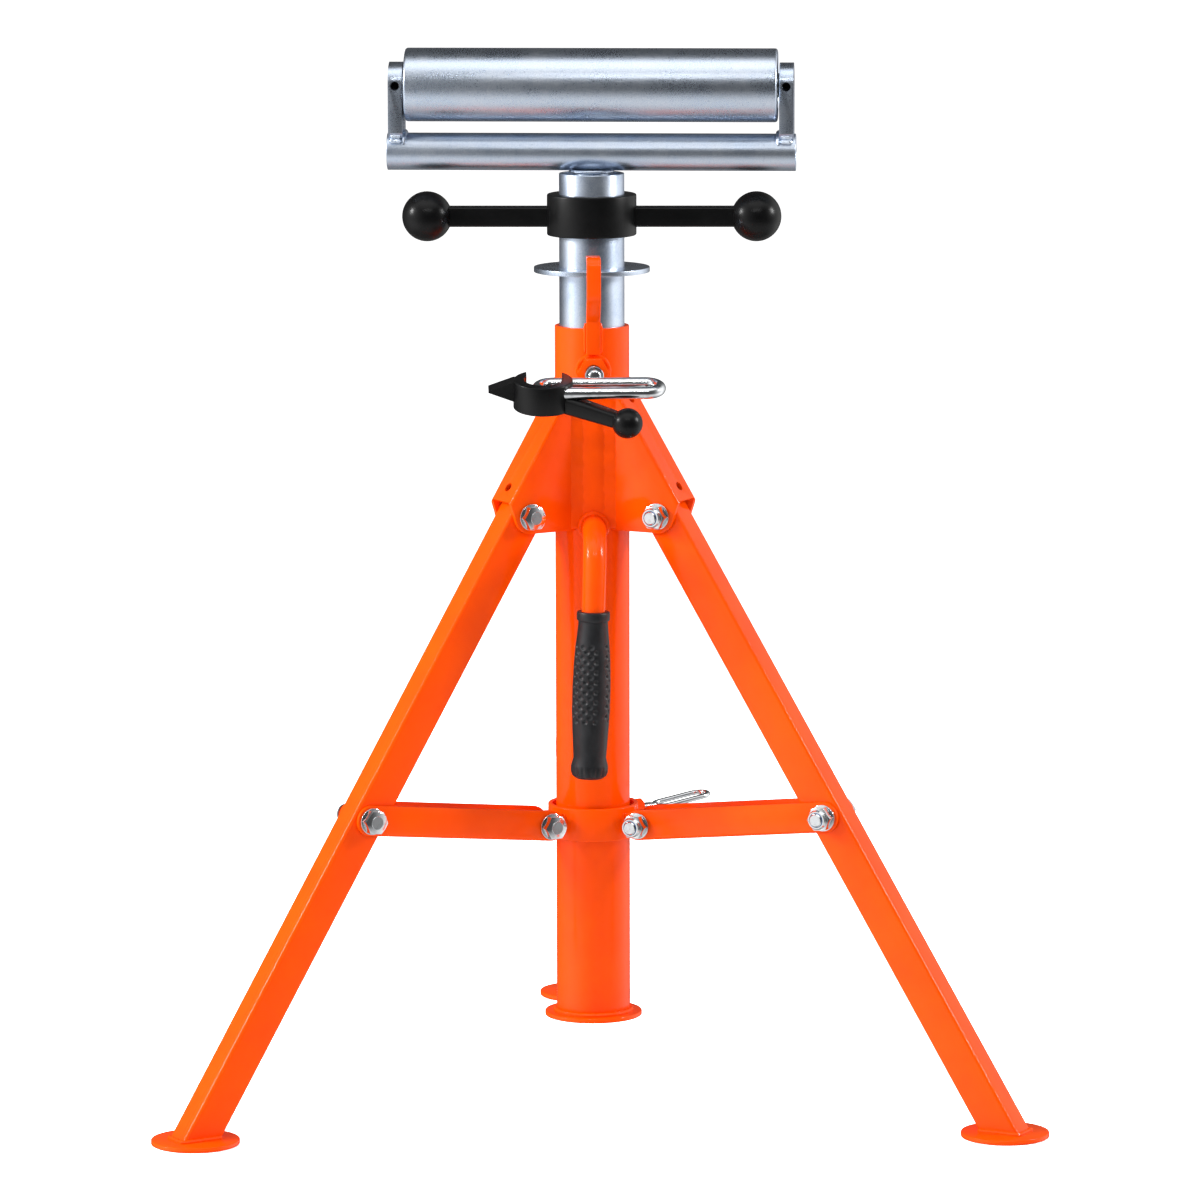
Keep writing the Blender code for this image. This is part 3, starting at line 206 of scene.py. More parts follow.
def along(points: Sequence[Vector], flat: Vector, closed: bool = False) -> Frames:
    """Frames along a path that lies in a plane, each with local Z along the path.

    Args:
        points: The path.
        flat: The plane's normal, which becomes local X.
        closed: Whether the path runs back to its start.

    Returns:
        One matrix a point.
    """
    last = len(points) - 1
    out = []
    for i, here in enumerate(points):
        before = points[i - 1] if i or closed else here
        after = points[(i + 1) % len(points)] if i < last or closed else here
        run = (after - before).normalized()
        side = run.cross(flat).normalized()
        turn = Matrix((flat.normalized(), side, run)).transposed().to_4x4()
        out.append(Matrix.Translation(here) @ turn)
    return out


def circle_of(radius: float, steps: int = 20) -> list[Pair]:
    """A circle's outline."""
    return arc((0.0, 0.0), radius, 0, 360 - 360 / steps, steps - 1)


def resampled(points: Sequence[Vector], pitch: float) -> list[Vector]:
    """A closed path cut into even steps.

    Args:
        points: The corners of the path.
        pitch: The step wanted.

    Returns:
        Points evenly along it.
    """
    loop = [*points, points[0]]
    lengths = [(b - a).length for a, b in zip(loop, loop[1:])]
    total = sum(lengths)
    count = max(12, round(total / pitch))
    out, i, done = [], 0, 0.0
    for k in range(count):
        want = total * k / count
        while done + lengths[i] < want:
            done += lengths[i]
            i += 1
        out.append(loop[i].lerp(loop[i + 1], (want - done) / max(lengths[i], 1e-9)))
    return out


# Meshes


class Blank:
    """A mesh in the making."""

    def __init__(self) -> None:
        """Starts with nothing."""
        self.bm = bmesh.new()

    @classmethod
    def turned(cls, section: Sequence[Pair], sides: int = FINE) -> "Blank":
        """Spins a section of (radius, height) points about Z.

        Args:
            section: A ring's closed section, or a half section from axis to axis.
            sides: Steps in the full turn.

        Returns:
            The solid of revolution.
        """
        blank = cls()
        bm = blank.bm
        points = [bm.verts.new((radius, 0.0, height)) for radius, height in section]
        edges = [bm.edges.new(pair) for pair in zip(points, points[1:])]
        if section[0][0] > MERGE or section[-1][0] > MERGE:
            edges.append(bm.edges.new((points[-1], points[0])))
        bmesh.ops.spin(
            bm, geom=points + edges, cent=(0, 0, 0), axis=(0, 0, 1),
            angle=math.tau, steps=sides, use_merge=True, use_duplicate=False,
        )
        return blank.healed()

    @classmethod
    def plate(cls, outline: Sequence[Pair], low: float, high: float) -> "Blank":
        """A plate along Z between two heights.

        Args:
            outline: Its outline in the plane.
            low: Its lower face.
            high: Its upper face.

        Returns:
            The plate.
        """
        blank = cls()
        bm = blank.bm
        face = bm.faces.new([bm.verts.new((x, y, low)) for x, y in outline])
        made = bmesh.ops.extrude_face_region(bm, geom=[face])["geom"]
        tops = [v for v in made if isinstance(v, bmesh.types.BMVert)]
        bmesh.ops.translate(bm, verts=tops, vec=(0, 0, high - low))
        return blank.healed()

    @classmethod
    def swept(
        cls, section: Sequence[Pair], places: Frames, closed: bool = False, capped: bool = True
    ) -> "Blank":
        """Carries a section along frames.

        Args:
            section: A closed outline in each frame's XY plane.
            places: The frames.
            closed: Whether the last joins the first.
            capped: Whether open ends are filled.

        Returns:
            The swept form.
        """
        blank = cls()
        bm = blank.bm
        points = [bm.verts.new(places[0] @ Vector((x, y, 0.0))) for x, y in section]
        first = [bm.edges.new((points[i - 1], points[i])) for i in range(len(points))]
        if capped and not closed:
            bm.faces.new(points)
        edges, now = first, places[0]
        for place in places[1:]:
            made = bmesh.ops.extrude_edge_only(bm, edges=edges)["geom"]
            fresh = {v for v in made if isinstance(v, bmesh.types.BMVert)}
            bmesh.ops.transform(bm, matrix=place @ now.inverted(), verts=list(fresh))
            lines = [e for e in made if isinstance(e, bmesh.types.BMEdge)]
            edges = [e for e in lines if fresh.issuperset(e.verts)]
            now = place
        if closed:
            bmesh.ops.bridge_loops(bm, edges=first + edges)
        elif capped:
            bmesh.ops.edgeloop_fill(bm, edges=edges)
        return blank.healed()

    @classmethod
    def bead(cls, path: Sequence[Vector], flat: Vector, width: float, closed: bool = False) -> "Blank":
        """A weld bead: a low rod whose thickness swells at each ripple.

        Args:
            path: The line that it follows.
            flat: The normal of the line's plane.
            width: Its width.
            closed: Whether it runs back to its start.

        Returns:
            The bead.
        """
        steps = along(path, flat, closed)
        out = []
        for i, place in enumerate(steps):
            swell = 0.88 + 0.08 * math.sin(i * math.tau / 5.0) + 0.06 * math.sin(i * 1.7)
            end = 1.0 if closed else min(1.0, 0.35 + 0.4 * min(i, len(steps) - 1 - i))
            out.append(place @ Matrix.Diagonal((swell * end, swell * end, 1.0, 1.0)))
        return cls.swept(circle_of(width / 2, 10), out, closed)

    @classmethod
    def ball(cls, radius: float, place: Matrix) -> "Blank":
        """A ball at a place."""
        blank = cls()
        bmesh.ops.create_icosphere(blank.bm, subdivisions=5, radius=radius, matrix=place)
        return blank

    def healed(self) -> "Blank":
        """Merges doubles and points the faces outwards."""
        bmesh.ops.remove_doubles(self.bm, verts=self.bm.verts[:], dist=MERGE)
        bmesh.ops.dissolve_degenerate(self.bm, dist=MERGE / 10, edges=self.bm.edges[:])
        bmesh.ops.recalc_face_normals(self.bm, faces=self.bm.faces[:])
        return self

    def put(self, place: Matrix) -> "Blank":
        """Moves the whole mesh by a matrix."""
        bmesh.ops.transform(self.bm, matrix=place, verts=self.bm.verts[:])
        return self

    def walled(self, thickness: float) -> "Blank":
        """Gives an open skin an inner wall."""
        bmesh.ops.solidify(self.bm, geom=self.bm.faces[:], thickness=thickness)
        return self.healed()

    def sliced(self, point: Vector, normal: Vector) -> "Blank":
        """Cuts away what lies beyond a plane, and leaves the cut open."""
        geometry = self.bm.verts[:] + self.bm.edges[:] + self.bm.faces[:]
        bmesh.ops.bisect_plane(
            self.bm, geom=geometry, plane_co=point, plane_no=normal, clear_outer=True
        )
        return self

    def softened(self, width: float, segments: int = 2, least: float = 40.0) -> "Blank":
        """Rounds the edges whose faces meet at more than an angle.

        Args:
            width: The bevel's width.
            segments: Its segments.
            least: The least angle in degrees between two faces.

        Returns:
            This blank.
        """
        bent = [e for e in self.bm.edges if e.calc_face_angle(0.0) > math.radians(least)]
        bmesh.ops.bevel(
            self.bm, geom=bent, offset=width, offset_type="OFFSET", segments=segments,
            profile=0.5, affect="EDGES", clamp_overlap=True, material=-1,
        )
        return self

    def with_(self, *others: "Blank") -> "Blank":
        """Takes other blanks in as they are."""
        for other in others:
            data = other.data("part")
            self.bm.from_mesh(data)
            bpy.data.meshes.remove(data)
        return self

    def cut(self, tool: "Blank", how: Cut = Cut.TAKE) -> "Blank":
        """Takes away, keeps or joins what a tool covers.

        Args:
            tool: The other solid, used up by this.
            how: What is done.

        Returns:
            This blank.
        """
        pair = [bpy.data.objects.new("work", b.data("work")) for b in (self, tool)]
        for thing in pair:
            bpy.context.scene.collection.objects.link(thing)
        change = pair[0].modifiers.new("cut", "BOOLEAN")
        change.operation, change.object, change.solver = how.value, pair[1], "EXACT"
        self.bm = read_back(pair[0])
        for thing in pair:
            data = thing.data
            bpy.data.objects.remove(thing, do_unlink=True)
            bpy.data.meshes.remove(data)
        return self

    def data(self, name: str) -> bpy.types.Mesh:
        """Turns the blank into a mesh and lets go of it."""
        mesh = bpy.data.meshes.new(name)
        self.bm.to_mesh(mesh)
        self.bm.free()
        return mesh

    def copy(self) -> "Blank":
        """A second blank of the same shape."""
        twin = Blank()
        twin.bm.free()
        twin.bm = self.bm.copy()
        return twin


def read_back(thing: bpy.types.Object) -> bmesh.types.BMesh:
    """The mesh of an object with its modifiers applied.

    Args:
        thing: An object that is in the scene.

    Returns:
        Its evaluated mesh as a bmesh.
    """
    graph = bpy.context.evaluated_depsgraph_get()
    graph.update()
    data = bpy.data.meshes.new_from_object(thing.evaluated_get(graph))
    bm = bmesh.new()
    bm.from_mesh(data)
    bpy.data.meshes.remove(data)
    return bm


def cast(blank: Blank, grain: float, rounds: int) -> Blank:
    """Melts a joined form into one skin with soft inner corners, as a casting has.

    Args:
        blank: The form, whose parts may overlap.
        grain: The size of the skin's cells.
        rounds: How often it is smoothed.

    Returns:
        The skin.
    """
    thing = bpy.data.objects.new("work", blank.data("work"))
    bpy.context.scene.collection.objects.link(thing)
    skin = thing.modifiers.new("skin", "REMESH")
    skin.mode, skin.voxel_size = "VOXEL", grain
    ease = thing.modifiers.new("ease", "SMOOTH")
    ease.factor, ease.iterations = 0.5, rounds
    out = Blank()
    out.bm.free()
    out.bm = read_back(thing)
    data = thing.data
    bpy.data.objects.remove(thing, do_unlink=True)
    bpy.data.meshes.remove(data)
    return out


def thread(radius: float, depth: float, pitch: float, low: float, high: float, steps: int = 28) -> Blank:
    """A round-shouldered thread ridge along Z, sunk a little in its bar.

    Args:
        radius: The bar's radius under the ridge.
        depth: How far the ridge stands out.
        pitch: The rise of a turn.
        low: Where it starts.
        high: Where it ends.
        steps: Chords in a turn.

    Returns:
        The ridge.
    """
    half = pitch * 0.36
    sunk = -depth * 0.4
    section = [(-half, sunk), (-half * 0.45, depth), (half * 0.45, depth), (half, sunk)]
    count = int((high - low) / pitch * steps)
    places = []
    for i in range(count + 1):
        turn = Matrix.Rotation(i * math.tau / steps, 4, "Z")
        stand = turn @ moved(radius, 0, low + pitch * i / steps)
        lay = Matrix(((0, 1, 0, 0), (0, 0, 1, 0), (1, 0, 0, 0), (0, 0, 0, 1)))
        places.append(stand @ lay)
    return Blank.swept(section, places)


# Shader nodes


class Value:
    """A socket whose arithmetic adds Math nodes."""

    def __init__(self, nodes: "Nodes", socket: bpy.types.NodeSocket) -> None:
        """Wraps a socket.

        Args:
            nodes: The tree that it is in.
            socket: The output socket.
        """
        self.nodes, self.socket = nodes, socket

    def _math(self, operation: str, *values: "Value | float") -> "Value":
        """One Math node on these values."""
        return self.nodes.add("ShaderNodeMath", {"operation": operation}, dict(enumerate(values)))

    def __add__(self, other: "Value | float") -> "Value":
        """self + other."""
        return self._math("ADD", self, other)

    def __radd__(self, other: float) -> "Value":
        """other + self."""
        return self._math("ADD", other, self)

    def __sub__(self, other: "Value | float") -> "Value":
        """self - other."""
        return self._math("SUBTRACT", self, other)

    def __rsub__(self, other: float) -> "Value":
        """other - self."""
        return self._math("SUBTRACT", other, self)

    def __mul__(self, other: "Value | float") -> "Value":
        """self * other."""
        return self._math("MULTIPLY", self, other)

    def __rmul__(self, other: float) -> "Value":
        """other * self."""
        return self._math("MULTIPLY", other, self)

    def __truediv__(self, other: "Value | float") -> "Value":
        """self / other."""
        return self._math("DIVIDE", self, other)

    def wave(self) -> "Value":
        """The sine of this."""
        return self._math("SINE", self)

    def to_angle(self, other: "Value") -> "Value":
        """The angle of the point (other, self)."""
        return self._math("ARCTAN2", self, other)

    def over(self, least: float) -> "Value":
        """1 where this is over a value, else 0."""
        return self._math("GREATER_THAN", self, least)

    def part(self) -> "Value":
        """What is left over a whole number."""
        return self._math("FRACT", self)

    def size(self) -> "Value":
        """This without its sign."""
        return self._math("ABSOLUTE", self)

    def power(self, exponent: float) -> "Value":
        """This to a power."""
        return self._math("POWER", self, exponent)

    def root(self) -> "Value":
        """The square root of this."""
        return self._math("SQRT", self)

    def ramp(self, low: float, high: float, first: float, last: float) -> "Value":
        """Maps low..high onto first..last and holds it there."""
        return self.nodes.add(
            "ShaderNodeMapRange", {"clamp": True}, {0: self, 1: low, 2: high, 3: first, 4: last}
        )


class Nodes:
    """The node tree of a material or of the world."""

    def __init__(self, owner: bpy.types.Material | bpy.types.World) -> None:
        """Switches the owner's nodes on.

        Args:
            owner: The material or world.
        """
        owner.use_nodes = True
        self.owner = owner
        self.tree = owner.node_tree
        self.output = next(n for n in self.tree.nodes if n.type.startswith("OUTPUT_"))
        self.shader = self.output.inputs["Surface"].links[0].from_node

    def add(self, kind: str, settings: dict, sockets: dict, out: int | str = 0) -> Value:
        """Adds a node.

        Args:
            kind: The node's type.
            settings: Its own settings, which come first.
            sockets: Values or links of its input sockets.
            out: Which output is wanted.

        Returns:
            That output.
        """
        node = self.tree.nodes.new(kind)
        for key, value in settings.items():
            if key == "stops":
                self._stops(node.color_ramp, value)
            else:
                setattr(node, key, value)
        for key, value in sockets.items():
            self.feed(node.inputs[key], value)
        return Value(self, node.outputs[out])

    @staticmethod
    def _stops(ramp: bpy.types.ColorRamp, stops: Sequence[tuple[float, tuple]]) -> None:
        """Sets a colour ramp's stops."""
        while len(ramp.elements) < len(stops):
            ramp.elements.new(0.5)
        for element, (place, colour) in zip(ramp.elements, stops):
            element.position, element.color = place, (*colour, 1.0)

    def feed(self, socket: bpy.types.NodeSocket, value: "Value | float | tuple") -> None:
        """Links or sets an input socket."""
        if isinstance(value, Value):
            self.tree.links.new(value.socket, socket)
        else:
            socket.default_value = value

    def set(self, **sockets: "Value | float | tuple") -> None:
        """Links or sets the shader's sockets, with _ for a space in their names."""
        for key, value in sockets.items():
            self.feed(self.shader.inputs[key.replace("_", " ").title().replace("Ior", "IOR")], value)

    def place(self) -> Value:
        """Where a point is on its object."""
        return self.add("ShaderNodeTexCoord", {}, {}, "Object")

    def stretched(self, scale: tuple, middle: tuple = (0, 0, 0)) -> Value:
        """Where a point is, about a middle and scaled for a pattern."""
        about = self.add("ShaderNodeVectorMath", {"operation": "SUBTRACT"}, {0: self.place(), 1: middle})
        return self.add("ShaderNodeVectorMath", {"operation": "MULTIPLY"}, {0: about, 1: scale})

    def noise(self, scale: float, detail: float = 2.0, rough: float = 0.5, at: Value | None = None) -> Value:
        """A noise pattern's value, in cells a metre."""
        return self.add(
            "ShaderNodeTexNoise", {},
            {"Vector": at or self.place(), "Scale": scale, "Detail": detail, "Roughness": rough},
        )

    def mix(self, how_much: "Value | float", first: "Value | tuple", second: "Value | tuple") -> Value:
        """A colour between two."""
        return self.add(
            "ShaderNodeMix", {"data_type": "RGBA"}, {0: how_much, 6: first, 7: second}, 2
        )

    def bump(self, height: Value, distance: float, strength: float = 1.0, under: Value | None = None) -> Value:
        """A normal from a height."""
        sockets = {"Strength": strength, "Distance": distance, "Height": height}
        if under:
            sockets["Normal"] = under
        return self.add("ShaderNodeBump", {}, sockets)


def solid(red: float, green: float, blue: float) -> tuple:
    """A colour with full cover."""
    return (red, green, blue, 1.0)


# Finishes


@dataclass(frozen=True)
class Finish:
    """A finish, made once and shared."""

    name: str
    slot: str
    made: ClassVar[dict[str, bpy.types.Material]] = {}

    def material(self) -> bpy.types.Material:
        """The finish as a material."""
        if self.name not in Finish.made:
            nodes = Nodes(bpy.data.materials.new(self.name))
            self.dress(nodes)
            Finish.made[self.name] = nodes.owner
        return Finish.made[self.name]

    def dress(self, nodes: Nodes) -> None:
        """Builds the nodes."""
        raise NotImplementedError


@dataclass(frozen=True)
class PowderCoat(Finish):
    """Gloss powder coat with a fine orange peel, a little dust in it and thinner, darker patches."""

    colour: tuple = solid(0.95, 0.080, 0.0006)
    deep: tuple = solid(0.86, 0.055, 0.0004)
    peel: float = 1.0

    def dress(self, nodes: Nodes) -> None:
        """Builds the nodes."""
        cloud = nodes.noise(26.0, 3.0, 0.6)
        fleck = nodes.noise(2400.0, 1.0, 0.5)
        peel = nodes.noise(620.0, 2.0, 0.45)
        swell = nodes.noise(90.0, 1.0, 0.5)
        colour = nodes.mix(cloud.ramp(0.35, 0.7, 0.0, 0.55), self.colour, self.deep)
        colour = nodes.mix(fleck.ramp(0.68, 0.80, 0.0, 0.25), colour, self.deep)
        rough = cloud.ramp(0.3, 0.7, 0.11, 0.17) + fleck.ramp(0.4, 0.8, 0.0, 0.05)
        first = nodes.bump(swell, 0.0006 * self.peel, 0.25)
        nodes.set(
            base_color=colour, roughness=rough, metallic=0.0, ior=1.5,
            specular_ior_level=0.20,
            normal=nodes.bump(peel, 0.00012 * self.peel, 0.35, first),
        )


@dataclass(frozen=True)
class Zinc(Finish):
    """Blue-white zinc plate: fine grain, soft clouds of cooler and warmer grey, faint draw lines."""

    cool: tuple = solid(0.50, 0.60, 0.76)
    warm: tuple = solid(0.64, 0.71, 0.82)
    smooth: float = 0.27
    grain: float = 1.0
    lines: tuple = (1.0, 1.0, 1.0)

    def dress(self, nodes: Nodes) -> None:
        """Builds the nodes."""
        cloud = nodes.noise(34.0, 4.0, 0.62)
        grain = nodes.noise(1150.0, 2.0, 0.6)
        pits = nodes.noise(420.0, 3.0, 0.6)
        drawn = nodes.noise(1.0, 2.0, 0.5, nodes.stretched(tuple(900.0 * s for s in self.lines)))
        colour = nodes.mix(cloud.ramp(0.32, 0.68, 0.0, 1.0), self.cool, self.warm)
        colour = nodes.mix(grain.ramp(0.35, 0.75, 0.0, 0.45 * self.grain), colour, solid(0.86, 0.92, 1.0))
        colour = nodes.mix(pits.ramp(0.60, 0.78, 0.0, 0.35 * self.grain), colour, solid(0.24, 0.32, 0.46))
        rough = cloud.ramp(0.3, 0.7, self.smooth, self.smooth + 0.08) + grain.ramp(0.3, 0.7, 0.0, 0.07)
        first = nodes.bump(grain, 0.00009 * self.grain, 0.6)
        nodes.set(
            base_color=colour, roughness=rough, metallic=1.0,
            normal=nodes.bump(drawn, 0.00003, 0.45, first),
        )


@dataclass(frozen=True)
class BrightPlate(Finish):
    """Bright zinc on bolts, nuts and wire, with light scratches and a few dull patches."""

    colour: tuple = solid(0.80, 0.82, 0.84)

    def dress(self, nodes: Nodes) -> None:
        """Builds the nodes."""
        dull = nodes.noise(160.0, 3.0, 0.6)
        fine = nodes.noise(1900.0, 2.0, 0.5)
        colour = nodes.mix(dull.ramp(0.45, 0.75, 0.0, 0.7), self.colour, solid(0.52, 0.54, 0.56))
        nodes.set(
            base_color=colour, metallic=1.0,
            roughness=dull.ramp(0.3, 0.75, 0.08, 0.22),
            normal=nodes.bump(fine, 0.00004, 0.3),
        )


@dataclass(frozen=True)
class BlackPaint(Finish):
    """Satin black enamel on castings, with a slight cast texture under it."""

    colour: tuple = solid(0.0028, 0.0028, 0.0030)
    rough: float = 0.28
    gloss: float = 0.24
    texture: float = 1.0

    def dress(self, nodes: Nodes) -> None:
        """Builds the nodes."""
        cloud = nodes.noise(60.0, 3.0, 0.6)
        sand = nodes.noise(850.0, 2.0, 0.5)
        colour = nodes.mix(cloud.ramp(0.4, 0.75, 0.0, 0.5), self.colour, solid(0.005, 0.005, 0.0053))
        nodes.set(
            base_color=colour, ior=1.5, specular_ior_level=self.gloss,
            roughness=cloud.ramp(0.3, 0.7, self.rough, self.rough + 0.08),
            normal=nodes.bump(sand, 0.00010 * self.texture, 0.3),
        )


@dataclass(frozen=True)
class GripRubber(Finish):
    """Matt moulded rubber with a fine skin and a little chalky bloom."""

    def dress(self, nodes: Nodes) -> None:
        """Builds the nodes."""
        bloom = nodes.noise(120.0, 3.0, 0.6)
        skin = nodes.noise(2600.0, 1.0, 0.5)
        colour = nodes.mix(bloom.ramp(0.4, 0.75, 0.0, 0.6), solid(0.009, 0.0095, 0.011), solid(0.018, 0.019, 0.022))
        nodes.set(
            base_color=colour, ior=1.45,
            roughness=bloom.ramp(0.3, 0.7, 0.36, 0.46),
            normal=nodes.bump(skin, 0.00005, 0.35),
        )


@dataclass(frozen=True)
class NylonRing(Finish):
    """The tinted plastic ring of a locking nut."""

    def dress(self, nodes: Nodes) -> None:
        """Builds the nodes."""
        tone = nodes.noise(500.0, 2.0, 0.5)
        colour = nodes.mix(tone.ramp(0.3, 0.7, 0.0, 1.0), solid(0.02, 0.09, 0.30), solid(0.04, 0.15, 0.42))
        nodes.set(base_color=colour, roughness=tone.ramp(0.3, 0.7, 0.35, 0.5), ior=1.5)


ORANGE = PowderCoat("orange_powder_coat", "orange_paint")
WELD = PowderCoat("orange_coated_weld", "orange_paint", peel=2.5)
ZINC = Zinc("zinc_plated_tube", "zinc_plate", lines=(0.05, 1.0, 1.0))
ZINC_UPRIGHT = Zinc("zinc_plated_mast", "zinc_plate", lines=(1.0, 1.0, 0.04))
ZINC_ROLLER = Zinc("zinc_plated_roller", "zinc_plate", lines=(1.0, 0.3, 0.3), smooth=0.22, grain=1.5)
ZINC_CUT = Zinc("zinc_plated_plate", "zinc_plate", smooth=0.22, grain=1.2)
BRIGHT = BrightPlate("bright_zinc_fixings", "bright_zinc")
BLACK = BlackPaint("black_enamel", "black_paint")
BALL = BlackPaint("black_ball_plastic", "black_plastic", rough=0.24, gloss=0.20, texture=0.2)
RUBBER = GripRubber("moulded_grip_rubber", "grip_rubber")
NYLON = NylonRing("nylon_locking_ring", "bright_zinc")
DARK = BlackPaint("dark_bearing_steel", "dark_steel", colour=solid(0.03, 0.03, 0.032), rough=0.35)
# The set screws are bright zinc plate; this near-black colour is painted shade for their hex sockets, sunk in the lugs'
# holes.
PAINTED_SHADE_SOCKET = BlackPaint("shaded_screw_socket", "bright_zinc", gloss=0.1, rough=0.5)


# Sub-assemblies


@dataclass
class Assembly:
    """A sub-assembly, which puts its pieces in the scene."""

    def add(
        self, name: str, blank: Blank, finish: Finish, body: str | Body, *nodes: str
    ) -> bpy.types.Object:
        """Makes a blank a piece of the stand.

        Args:
            name: The piece's name.
            blank: Its mesh, already in its place.
            finish: Its finish.
            body: The body that it rides on.
            *nodes: The CAD nodes that it stands for.

        Returns:
            The piece.
        """
        thing = bpy.data.objects.new(name, blank.data(name))
        bpy.context.scene.collection.objects.link(thing)
        thing.data.materials.clear()
        thing.data.materials.append(finish.material())
        thing.data.shade_smooth()
        thing.data.set_sharp_from_angle(angle=SHARP)
        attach(thing, body.value if isinstance(body, Body) else body)
        if nodes:
            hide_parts(*nodes)
        LOG.info("%s: %d faces on %s", name, len(thing.data.polygons), body)
        return thing

    def build(self) -> None:
        """Builds and dresses the sub-assembly."""
        raise NotImplementedError


@dataclass
class Fixings(Assembly):
    """Hexagon bolts with washers, and locking nuts with a nylon ring."""

    shank: float = 0.0095
    flats: float = 0.0150
    head: float = 0.0060
    nut: float = 0.0062
    collar: float = 0.0030
    collar_width: float = 0.0135
    washer: float = 0.0182
    washer_thick: float = 0.0015
    end: float = 0.0012

    def hexagon(self, flats: float, low: float, high: float, both: bool = False) -> Blank:
        """A hexagon prism along Z whose corners are turned off in a cone.

        Args:
            flats: Its width across flats.
            low: Its lower face.
            high: Its upper face.
            both: Whether the lower corners are turned off too.

        Returns:
            The prism.
        """
        wide = flats / math.sqrt(3)
        corners = [(wide * math.cos(a), wide * math.sin(a)) for a in (i * math.tau / 6 for i in range(6))]
        blank = Blank.plate(corners, low, high)
        face, drop = flats / 2 * 0.96, (wide - flats / 2 * 0.96) * math.tan(math.radians(30))
        foot = [(face, low), (wide, low + drop)] if both else [(wide * 1.02, low - drop)]
        cone = [(0.0, high), (face, high), (wide, high - drop), *reversed(foot)]
        cone.append((0.0, foot[0][1]))
        return blank.cut(Blank.turned(cone, 72), Cut.KEEP)

    def bolt(self, seat: float) -> Blank:
        """A bolt's head and washer along local +Z from a seat."""
        low = seat + SEAT
        washer = Blank.turned(ring(self.washer / 2, self.shank / 2, low, low + self.washer_thick, 0.0004))
        base = low + self.washer_thick
        head = self.hexagon(self.flats, base + 0.0003, base + self.head)
        boss = Blank.turned(shaft(self.flats / 2 * 0.93, base, base + 0.001, 0.0002), 64)
        dish = arc((0.0, 0.0), self.flats / 2 * 0.62, 90, 0, 4)
        inner = Blank.turned([(0.0, base + self.head + 0.0002), *((r, base + self.head - 0.0002 + 0.0004 * (h > 0)) for r, h in dish), (0.0, base + self.head - 0.0006)], 48)
        return washer.with_(head, boss, inner)

    def locking_nut(self, seat: float) -> tuple[Blank, Blank]:
        """A nut's metal and its nylon ring along local -Z from a seat.

        Args:
            seat: The height of the face that its washer bears on.

        Returns:
            The metal and the ring.
        """
        face = seat - SEAT
        top = face - self.washer_thick
        low = top - self.nut
        rim = low - self.collar
        washer = Blank.turned(ring(self.washer / 2, self.shank / 2, top, face, 0.0004))
        flip = turned_by(180, "X")
        body = self.hexagon(self.flats, -top, -low, True).put(flip)
        wide = self.collar_width / 2
        dome = [(wide, low), (wide, rim + 0.0012), (wide - 0.0008, rim), (wide - 0.0017, rim), (wide - 0.0020, rim + 0.0008), (wide - 0.0020, low)]
        crown = Blank.turned(dome, 64)
        tip = rim - self.end
        end = Blank.turned([(0.0, low), (self.shank / 2 - 0.0002, low), (self.shank / 2 - 0.0002, tip + 0.0008), (self.shank / 2 - 0.0009, tip), (0.0, tip)], 48)
        winding = thread(self.shank / 2 - 0.0005, 0.0004, 0.0015, tip + 0.0007, low + 0.0004, 24)
        nylon = Blank.turned(ring(wide - 0.0018, self.shank / 2 - 0.0003, rim + 0.0004, low, 0.0002), 48)
        return washer.with_(body, crown, end, winding), nylon

    def fit(self, place: Matrix, half: float, names: tuple[str, str], body: str | Body) -> None:
        """Fits a bolt and its nut through a pivot.

        Args:
            place: The pivot's frame, whose local Z is the bolt's axis.
            half: How far the seats are from the middle.
            names: The bolt's node and the nut's node.
            body: The body that they ride on.
        """
        bolt = self.bolt(half).put(place)
        metal, nylon = self.locking_nut(-half)
        self.add(names[0] + "_seen", bolt, BRIGHT, body, names[0])
        self.add(names[1] + "_seen", metal.put(place), BRIGHT, body, names[1])
        self.add(names[1] + "_ring", nylon.put(place), NYLON, body)


@dataclass
class Post(Assembly):
    """The post tube, the disc under it and the bead between them."""

    radius: float = 0.0254
    wall: float = 0.0028
    low: float = 0.0560
    high: float = 0.5321
    disc: float = 0.0335
    disc_thick: float = 0.0032
    disc_bore: float = 0.0113

    def build(self) -> None:
        """Builds and dresses the sub-assembly."""
        tube = Blank.turned(ring(self.radius, self.radius - self.wall, self.low, self.high, 0.0007), 128)
        self.add("post_skin", tube.put(STAND), ORANGE, Body.POST, "post_tube")
        top = self.low - SEAT
        disc = Blank.turned(ring(self.disc, self.disc_bore, top - self.disc_thick, top, 0.0006), 128)
        self.add("base_disc_skin", disc.put(STAND), ORANGE, Body.POST, "post_base_disc")
        path = [Vector((*p, self.low + 0.0004)) for p in circle_of(self.radius + 0.0006, 150)]
        bead = Blank.bead(path, Vector((0, 0, 1)), 0.0042, True).put(STAND)
        self.add("base_disc_weld", bead, WELD, Body.POST)


